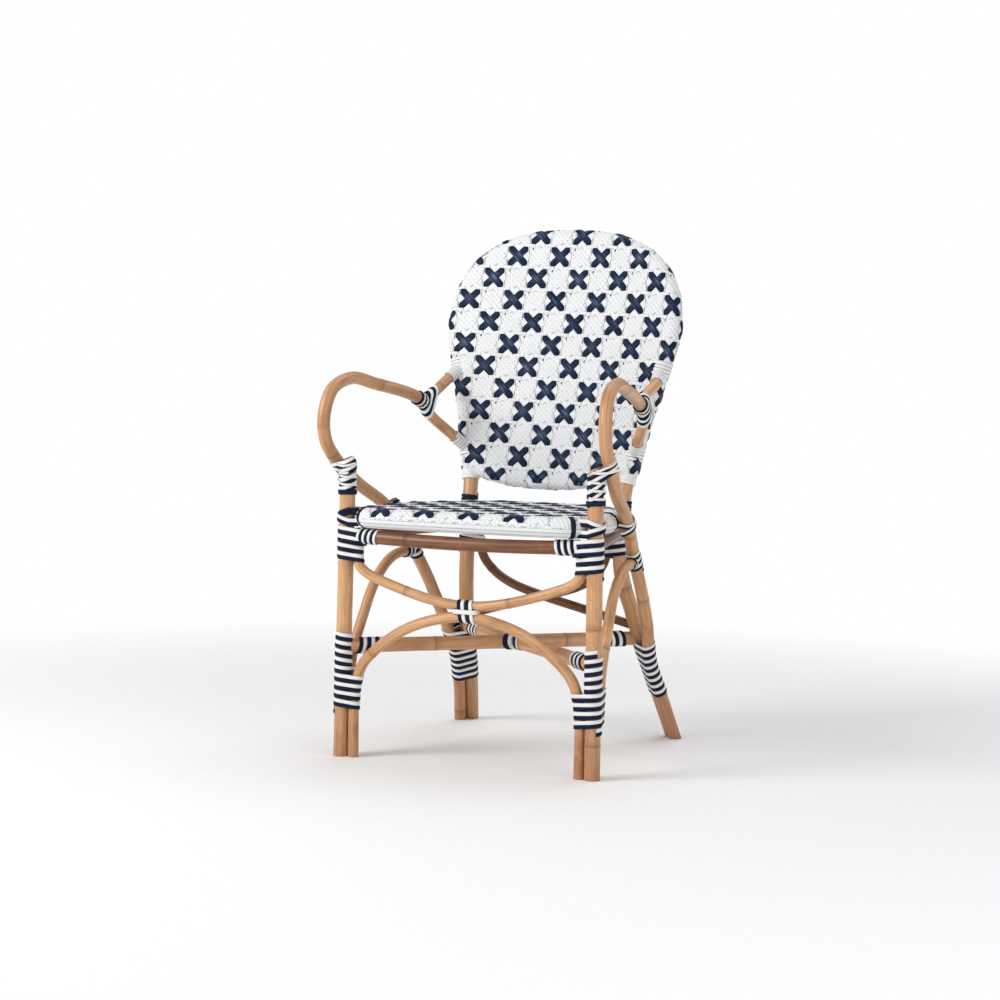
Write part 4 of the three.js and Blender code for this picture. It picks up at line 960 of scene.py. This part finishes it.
rear_tie_low, rear_tie_turns, rear_tie_width, rear_tie_pitch = -13.25, 5.4, 6.5, 6.7
rear_post = part_of(rear_leg, 0.4)
bind_sides(
    "seat_tie_rear", [(rear_post, hoop_radius)], *on_line(rear_post, ring_height), rear_tie_low,
    rear_tie_turns, width=rear_tie_width, pitch=rear_tie_pitch, colours=(navy,),
)

# Middle bindings: the pair round the arch's crown and the bow that lies on it, with a white lash
# lying round both, and the pair round the crossed stretchers.
sideways, middle_turns, middle_low = np.array([1.0, 0, 0]), 2, -three_turns / 2
lash_reach, lash_square, lash_width = (22, 11.4, 0), 0.45, 8.4
lash_turn = 2 * np.pi * np.linspace(0, 1, 90)
lash_out = np.stack([np.cos(lash_turn), np.sin(lash_turn), 0 * lash_turn], -1)
lash_line = np.sign(lash_out) * np.abs(lash_out) ** lash_square * lash_reach
lash_line = lash_line + (0, leg_y, arch_height + arch_radius)
lash = [strap(lash_line, lash_out, lash_width, 1)]
arch_and_bow = [(part_of(arch_line, 0.3, 0.7), arch_radius), (part_of(bow_line, 0.3, 0.7), bow_radius)]
spot = np.array([0, leg_y, arch_height])
add_binding("arch_and_bow_binding", arch_and_bow, spot, sideways, middle_low, middle_turns, extra=lash)
crossed = [(part_of(mirror(stretcher, side), 0.3, 0.8), stretcher_radius) for side in (-1, 1)]
spot = np.array([0, crossing[1], stretcher_height])
add_binding("stretcher_crossing_binding", crossed, spot, sideways, middle_low, middle_turns)


# Woven back: flat coated strands, white along and across with navy and white crosses on the
# diagonals, drawn round the hoop and the lower rail, which are wound close with white strand.
class Panel:
    """A flat weave that turns round the pole along its edge.

    Inside the outline a point (across, rise) lies on the front plane. Past the outline it goes
    on round the pole: the distance past the edge, over the sleeve's radius, is the angle turned.
    """

    def __init__(self, origin, across, rise, front, edge, radius, out, crowding=0.0, drop=0.0):
        self.origin, self.across, self.rise, self.front = origin, across, rise, front
        self.edge, self.radius, self.out = edge, radius, out
        self.face = (radius + out).max()
        self.crowding, self.drop = crowding / edge[:, 0].max() ** 2, drop

    def crowd(self, flat):
        """The lattice's points moved left by the crowding times x squared, and down by drop times x."""
        return flat - np.stack([self.crowding * flat[..., 0] ** 2, self.drop * flat[..., 0]], -1)

    def measure(self, flat):
        """Signed distance past the edge, nearest place on it, its radius and depth.

        The nearest place is the least of the distances to all the edge's straight pieces. A point
        is inside if a line from it to the right crosses the edge an odd number of times.
        """
        edge = self.edge
        step = np.roll(edge, -1, 0) - edge
        size = (step**2).sum(1)
        found = []
        for part in np.array_split(flat, max(1, len(flat) // 4000)):
            off = part[:, None] - edge
            t = np.clip((off * step).sum(-1) / size, 0, 1)
            gap = ((off - t[..., None] * step) ** 2).sum(-1)
            k = gap.argmin(1)
            row = np.arange(len(part))
            found.append(np.column_stack([k, t[row, k], np.sqrt(gap[row, k])]))
        k, t, far = np.vstack(found).T
        k = k.astype(int)
        m = (k + 1) % len(edge)
        spot = edge[k] + (edge[m] - edge[k]) * t[:, None]
        radius = self.radius[k] * (1 - t) + self.radius[m] * t
        out = self.out[k] * (1 - t) + self.out[m] * t
        x, y = flat.T
        inside = np.zeros(len(flat), bool)
        for (ax, ay), (bx, by) in zip(edge[::4], np.roll(edge[::4], -1, 0)):
            hit = (ay > y) != (by > y)
            inside ^= hit & (x < (bx - ax) * (y - ay) / (by - ay + 1e-12) + ax)
        return np.where(inside, -far, far), spot, radius, out

    def place(self, flat, lift, back=0.0):
        """Points of the weave, lifted off it; with back above zero, of its rear face instead."""
        flat = self.crowd(np.asarray(flat, float))
        shape = flat.shape[:-1]
        flat = flat.reshape(-1, 2)
        lift = np.broadcast_to(lift, shape).ravel()
        far, spot, radius, out = self.measure(flat)
        gone = unit(flat - spot + 1e-9)
        angle = np.clip(far / radius, 0, tuck_turn)
        depth = self.face - back - lift if back else self.face + lift
        inner = flat[:, :1] * self.across + flat[:, 1:] * self.rise + np.outer(depth, self.front)
        rim = spot + gone * ((radius + lift) * np.sin(angle))[:, None]
        depth = out + (radius + lift) * np.cos(angle)
        outer = rim[:, :1] * self.across + rim[:, 1:] * self.rise + np.outer(depth, self.front)
        both = np.where((far > 0)[:, None], outer, inner)
        return (self.origin + both).reshape(*shape, 3), far.reshape(shape), radius.reshape(shape)


def ribbons(panel, back, starts, ends, width, thick, samples, columns, lift, taper=np.ones_like):
    """Crowned ribbons from start to end points of the panel's plane, all with the same samples.

    Width shrinks at the ends by taper; lift is a function of the share along; the section is
    a low arc whose edges drop below the ribbon's foot.
    """
    t = np.linspace(0, 1, samples)
    c = np.linspace(-1, 1, columns)
    run = ends - starts
    length = np.linalg.norm(run, axis=1)
    along = run / length[:, None]
    side = np.stack([-along[:, 1], along[:, 0]], -1)
    w = width / 2 * taper(t)
    spot = starts[:, None, None] + run[:, None, None] * t[None, :, None, None]
    spot = spot + side[:, None, None] * (c[None, None, :, None] * w[None, :, None, None])
    height = lift(t)[:, None] + thick * (1 - 0.35 * c**2 - 0.65 * c**10)[None] - 0.5 * (np.abs(c) == 1)
    points, far, radius = panel.place(spot, np.broadcast_to(height, spot.shape[:-1]), back)
    keep = far.max((1, 2)) < rear_past if back else (far / radius).min((1, 2)) < 1.1 * np.pi
    uv = np.empty((*far.shape, 3))
    uv[..., 0] = t[None, :, None] * length[:, None, None]
    uv[..., 1] = c * width / 2
    uv[..., 2] = np.arange(len(starts))[:, None, None] * 37.0
    # The edge and tip layers steer the painted shade on edges and ends, and the painted highlight at the
    # middle.
    edge = np.broadcast_to(np.abs(c), far.shape)
    tip = np.broadcast_to(np.abs(2 * t - 1)[:, None], far.shape)
    return points[keep], uv[keep], edge[keep], tip[keep]


def join(batches):
    """All ribbons of several batches as one list of points, faces, layers and colours."""
    points, faces, which, layers = [], [], [], {"along": [], "edge": [], "tip": []}
    base = 0
    for (place, uv, edge, tip), colour in batches:
        count, rows, columns = place.shape[:3]
        quads = grid_faces(rows, columns)[None] + (np.arange(count) * rows * columns)[:, None, None]
        faces.append(quads.reshape(-1, 4) + base)
        base += count * rows * columns
        points.append(place.reshape(-1, 3))
        which.append(np.full(len(faces[-1]), colour))
        layers["along"].append(uv.reshape(-1, 3) * 0.001)
        layers["edge"].append(edge.ravel())
        layers["tip"].append(tip.ravel())
    layers = {name: np.concatenate(values) for name, values in layers.items()}
    return np.vstack(points), [np.vstack(faces)], layers, np.concatenate(which)


def cross_strand(name, light, dark, deep, shine, streaks, gloss):
    """Broad strand: lengthwise streaks, a painted highlight brightening its middle, and painted shade
    darkening its edges and ends.
    """
    material, t = new_tree(name)
    place = t.attribute("along", "Vector")
    streak = t.noise(t.stretch(place, (0.03, 1.0, 1.0)), 620.0, 3.0, 0.65)
    fine = t.noise(t.stretch(place, (0.02, 1.0, 1.0)), 1500.0, 2.0, 0.6)
    tone = t.noise(t.stretch(place, (0.3, 1.0, 1.0)), 45.0, 2.0, 0.6)
    edge, tip = t.attribute("edge"), t.attribute("tip")
    # Painted highlight: the streaks' light colour is brought out over the middle of the strand, fading
    # towards its ends.
    painted_sheen = (1 - tip.span(0.0, 0.6)) * (0.35 + 0.65 * tone.span(0.35, 0.6))
    colour = t.mix(streak.span(0.4, 0.75) * (streaks + (1 - streaks) * painted_sheen), dark, light)
    colour = t.mix(tone.span(0.45, 0.75) * 0.4, colour, dark)
    # Painted shade: edges and ends are darkened towards the deep colour.
    colour = t.mix(edge.span(0.7, 1.0) * 0.55, colour, deep)
    colour = t.mix(tip.span(0.78, 1.0) * 0.7, colour, deep)
    rough, height = shine + 0.2 * tone, streak + 0.4 * fine
    t.finish(t.surface(colour, rough, height, (0.5, 0.0007), Specular_IOR_Level=gloss))
    return material


def speckled(name, scale, dark, light, rough):
    """Painted shade between strands: a dark mark, mottled from dark to light."""
    material, t = new_tree(name)
    t.finish(t.surface(t.mix(t.noise(t.attribute("along", "Vector"), scale), dark, light), rough))
    return material


def slanted(name, groove_step):
    """White strands under the crosses: fine slanting grooves at even steps, in metres; the grooves
    are darkened with painted shade.
    """
    material, t = new_tree(name)
    place = t.attribute("along", "Vector")
    x, y = (t.add("ShaderNodeSeparateXYZ", {}, {0: place}, output) for output in ("X", "Y"))
    slant = (x + y) / groove_step
    wave = slant.math("PINGPONG", slant, 0.5) * 2
    speck = t.noise(place, 700.0, 3.0, 0.6)
    # Painted shade: the grooves are darker than the strands between them.
    shade = t.mix(wave.span(0.0, 0.35), linear(200, 201, 202), linear(234, 235, 235))
    shade = t.mix(speck.span(0.45, 0.75) * 0.3, shade, linear(232, 232, 232))
    t.finish(t.surface(shade, 0.5, wave.span(0.0, 0.5), (0.35, 0.0006)))
    return material


def arched(base, rise):
    """Lift of a ribbon: a base at its ends and half a wave more towards its middle."""
    return lambda t: base + rise * np.cos(np.pi * (t - 0.5))


def lash_lift(t):
    """Lift of a lash: its ends dip into the weave and its middle is nearly level."""
    return 1.1 * np.cos(np.pi * (t - 0.5)) ** 0.5 - 0.25


def blunt(t):
    """Share of a cross strand's width: full, and falling over its last millimetres."""
    return np.minimum(1, (cross_reach * (1 - np.abs(2 * t - 1)) + 2.4) / (cross_width / 2))


def pointed(power):
    """Share of a mark's width: none at its ends, blunter the lower the power."""
    return lambda t: np.sin(np.pi * t) ** power


def weave(name, node, panel, cell, offset, columns, rows, past, cap_rise=-no_end):
    """The whole weave of one panel, front and rear, over a lattice of cells.

    In every other cell two broad navy strands cross, if its centre lies inside the edge or no
    further past it than the given distance; below the cap rise only their upper halves show. In
    the cells between, four white strands lie side by side over four others. Lashes along the
    rows cover the ends. Short dark slits above and below them and a small dark pit beside a cross
    are painted shade: thin dark marks laid on the weave where it has gaps.
    """
    def lay(look, form, middle, low, high, **lift):
        strips = ribbons(panel, back, middle - low, middle + high, **form, **lift)
        batches.append((strips, look))

    i, j = (k.ravel() for k in np.meshgrid(np.arange(*columns), np.arange(*rows), indexing="ij"))
    half = np.array(cell) / 2
    centre = np.stack([offset[0] + cell[0] * i, offset[1] + cell[1] * j], -1)
    far = panel.measure(panel.crowd(centre))[0]
    near, dark = far < lattice_past, (far < past) & ((i + j) % 2 == 0)
    capped = centre[dark & (centre[:, 1] < cap_rise)] - (0, 0.5)
    batches = []
    for back in (0.0, weave_depth):
        for slope, base in ((1, -0.15), (-1, 0.3)):
            run = half * (1, slope)
            square = unit(np.array([-run[1], run[0]]))
            for step in (-1.5, -0.5, 0.5, 1.5):
                middle = centre[near & ~dark] + square * strand_step * step
                reach = run * (0.5 if abs(step) > 1 else 0.98)
                lay(white_look, cell_form, middle, reach, reach, lift=arched(base, 0.25))
        for slope, base, rise in ((1, 0.55, 0.3), (-1, 0.75, 1.5)):
            reach = unit(half * (1, slope)) * cross_reach
            foot = 1.0 if back else np.where(centre[dark][:, 1:] < cap_rise, 0.04, 1.0)
            low, high = (reach, reach * foot) if slope < 0 else (reach * foot, reach)
            lay(navy_look, cross_form, centre[dark], low, high, lift=arched(base, rise))
        lay(white_look, lash_form, centre[near] + half, lash_half, lash_half)
        if len(capped) and not back:
            lay(navy_look, cap_form, capped, cap_half, cap_half)
        # Painted shade: dark slits above and below each lash, and a dark pit beside each cross.
        for down in (-1, 1):
            slit = centre[near] + half + (slit_side, down * slit_apart)
            lay(slit_shade_look, slit_form, slit, slit_half, slit_half)
        lay(pit_shade_look, pit_form, centre[dark] + half + pit_off, pit_half, pit_half)
    points, faces, layers, which = join(batches)
    add_mesh(name, node, points, faces, weave_materials, layers, which, sharp_angle=60)


def ground_sheet(name, panel, low, high, step=4.0):
    """The ground of a weave, front and rear, as grids of points of the panel."""
    x = np.arange(low[0], high[0] + step, step)
    y = np.arange(low[1], high[1] + step, step)
    flat = np.stack(np.meshgrid(x, y, indexing="ij"), -1)
    points, faces = [], []
    for back in (0.0, weave_depth):
        place, far, radius = panel.place(flat, 0.0, back)
        limit = np.full_like(radius, rear_past) if back else tuck_turn * radius
        quads = grid_faces(len(x), len(y))
        quads = quads[(far.ravel() < limit.ravel())[quads].any(1)]
        faces.append(quads[:, ::-1] + far.size if back else quads)
        points.append(place.reshape(-1, 3))
    along = np.pad(np.vstack([flat.reshape(-1, 2)] * 2), ((0, 0), (0, 1))) * 0.001
    used, faces = np.unique(np.vstack(faces), return_inverse=True)
    blank = np.zeros(len(used))
    layers = {"along": along[used], "edge": blank, "tip": blank}
    points = np.vstack(points)[used]
    faces, ground = [faces.reshape(-1, 4)], weave_materials[ground_look]
    add_mesh(name, None, points, faces, [ground], layers, sharp_angle=60)


def add_sleeve(name, line, radius, pitch=6.4, height=0.7):
    """Strand wound close round a pole: a tube whose radius rises and falls once a turn. Painted
    shade darkens the grooves between turns.
    """
    path = centre_line(line[::4], sleeve_spacing)
    angle = 2 * np.pi * np.arange(sleeve_sides) / sleeve_sides
    phase = run_of(path)[:, None] / pitch + angle / (2 * np.pi)
    bead = np.abs(np.sin(np.pi * phase)) ** 0.6
    size = radius - 0.2 - height + height * bead
    skin, faces = tube(path, size, sleeve_sides)
    along = np.stack([np.broadcast_to(angle * (radius - 0.2), size.shape), phase * pitch, 0 * size], -1)
    layers = {
        "along": along.reshape(-1, 3) * 0.001,
        "edge": (1 - bead).ravel(),
        "tip": np.zeros(size.size),
    }
    add_mesh(name, None, skin.reshape(-1, 3), faces, [white], layers, sharp_angle=60)


# Cross strand colours: light for the streaks and the painted highlight, dark, and deep for the painted shade
# at edges and ends.
navy_streak_and_highlight, navy_dark, navy_painted_shade = linear(140, 158, 186), linear(12, 30, 56), linear(2, 6, 14)
white_streak_and_highlight, white_dark, white_painted_shade = linear(238, 239, 239), linear(226, 227, 227), linear(150, 150, 150)
white_cross = cross_strand("weave_white", white_streak_and_highlight, white_dark, white_painted_shade, 0.45, 0.5, 0.35)
ground_look, navy_look, white_look, pit_shade_look, slit_shade_look = range(5)
weave_materials = [
    slanted("weave_ground", 0.0050),
    cross_strand("weave_navy", navy_streak_and_highlight, navy_dark, navy_painted_shade, 0.38, 0.08, 0.07),
    white_cross,
    # Painted shade: dark marks for the pits and slits where the weave has gaps.
    speckled("weave_pit_painted_shade", 900.0, linear(20, 18, 20), linear(52, 46, 44), 0.8),
    speckled("weave_slit_painted_shade", 300.0, linear(92, 88, 84), linear(196, 194, 190), 0.7),
]
cross_width, cross_reach, strand_step = 13.3, 24.5, 7.3
cell_form = {"width": strand_step - 0.2, "thick": 0.65, "samples": 9, "columns": 5}
cross_form = {"width": cross_width, "thick": 0.8, "samples": 21, "columns": 7, "taper": blunt}
lash_form = {"width": 6.5, "thick": 0.5, "samples": 11, "columns": 5, "lift": lash_lift}
cap_form = {**cross_form, "width": 9.0, "samples": 13, "lift": arched(0.9, 0)}
mark = {"thick": 0.1, "columns": 3}
slit_form = {**mark, "width": 1.3, "samples": 6, "lift": arched(1.15, 0), "taper": pointed(0.4)}
pit_form = {**mark, "width": 2.8, "samples": 4, "lift": arched(1.5, 0), "taper": pointed(0.5)}
lash_half, cap_half, slit_half, pit_half = np.array([(12.0, 0.0), (9.5, 0.0), (0.0, 6.0), (1.0, 2.6)])
slit_side, slit_apart, pit_off = 0.3, 11.5, (8.6, -6.2)
weave_depth, rear_past, lattice_past, tuck_turn = 2.8, 6.0, 60, 1.12 * np.pi
sleeve_sides, sleeve_spacing = 24, 1.1

back_sleeve, rail_sleeve, narrowing = hoop_radius + weave_thickness, rail_radius + weave_thickness, 20
rise_of = (hoop_line[:, 2] - post_z) / np.cos(lean)
top = hoop_line[rise_of > rail_rise]
edge = np.column_stack([top[:, 0], (top[:, 2] - post_z) / np.cos(lean)])
low_edge = np.column_stack([rail_line[::-1, 0], (rail_line[::-1] - back_point(0, 0)) @ back_up])
from_end = np.minimum(np.arange(len(low_edge)), np.arange(len(low_edge))[::-1]) * 2.5
rail_part = back_sleeve + (rail_sleeve - back_sleeve) * np.clip(from_end / narrowing, 0, 1)
radius = np.concatenate([np.full(len(edge), back_sleeve), rail_part])
back_panel = Panel(
    back_point(0, 0), sideways, back_up, back_front, np.vstack([edge, low_edge]),
    radius, back_sleeve - radius, crowding=15.3, drop=0.022,
)
back_cell, back_first, back_columns, back_rows = (41.7, 42.7), (-13.6, 35.2), (-7, 8), (-2, 13)
weave(
    "back_weave_strands", "back_weave", back_panel, back_cell, back_first, back_columns, back_rows,
    past=60.0, cap_rise=60.0,
)
ground_sheet("back_weave_ground", back_panel, low=(-290, -40), high=(290, 580))
add_sleeve("back_weave_sleeve", hoop_line[rise_of > rail_rise - rail_sag], back_sleeve)
add_sleeve("rail_weave_sleeve", rail_line, rail_sleeve)

# Woven seat: the same weave, flat over the seat ring and turned down round it, with the ring wound
# close and three broad strands along its outer side.
ring_edge = ring_line[:-1, :2]
seat_panel = Panel(
    np.array([0, 0, ring_height]), sideways, np.array([0, 1.0, 0]), up_axis, ring_edge,
    np.full(len(ring_edge), sleeve_radius), np.zeros(len(ring_edge)),
)
seat_cell, seat_first, seat_columns, seat_rows = (42.0, 42.0), (14.5, -251.0), (-7, 8), (-2, 12)
weave(
    "seat_weave_strands", "seat_weave", seat_panel, seat_cell, seat_first, seat_columns, seat_rows,
    past=6.0,
)
ground_sheet("seat_weave_ground", seat_panel, low=(-300, -330), high=(300, 190))
add_sleeve("seat_weave_sleeve", ring_line, sleeve_radius)
ring_run = unit(np.roll(ring_edge, -1, 0) - np.roll(ring_edge, 1, 0))
ring_run = np.concatenate([ring_run, ring_run[:1]])
ring_out = np.stack([-ring_run[:, 1], ring_run[:, 0], 0 * ring_run[:, 0]], -1)
ring_out *= np.sign((ring_out[len(ring_out) // 2] * (0, -1, 0)).sum())
rim_width, rim_lift = 7.6, 0.3
strips = []
for angle in np.radians((106, 132, 158)):
    way = ring_out * np.sin(angle) + up_axis * np.cos(angle)
    strips.append(strap(ring_line + way * (sleeve_radius + rim_lift), way, rim_width, 0))
strand_piece("seat_rim_strands", None, strips, (white_cross,))

bpy.context.view_layer.update()
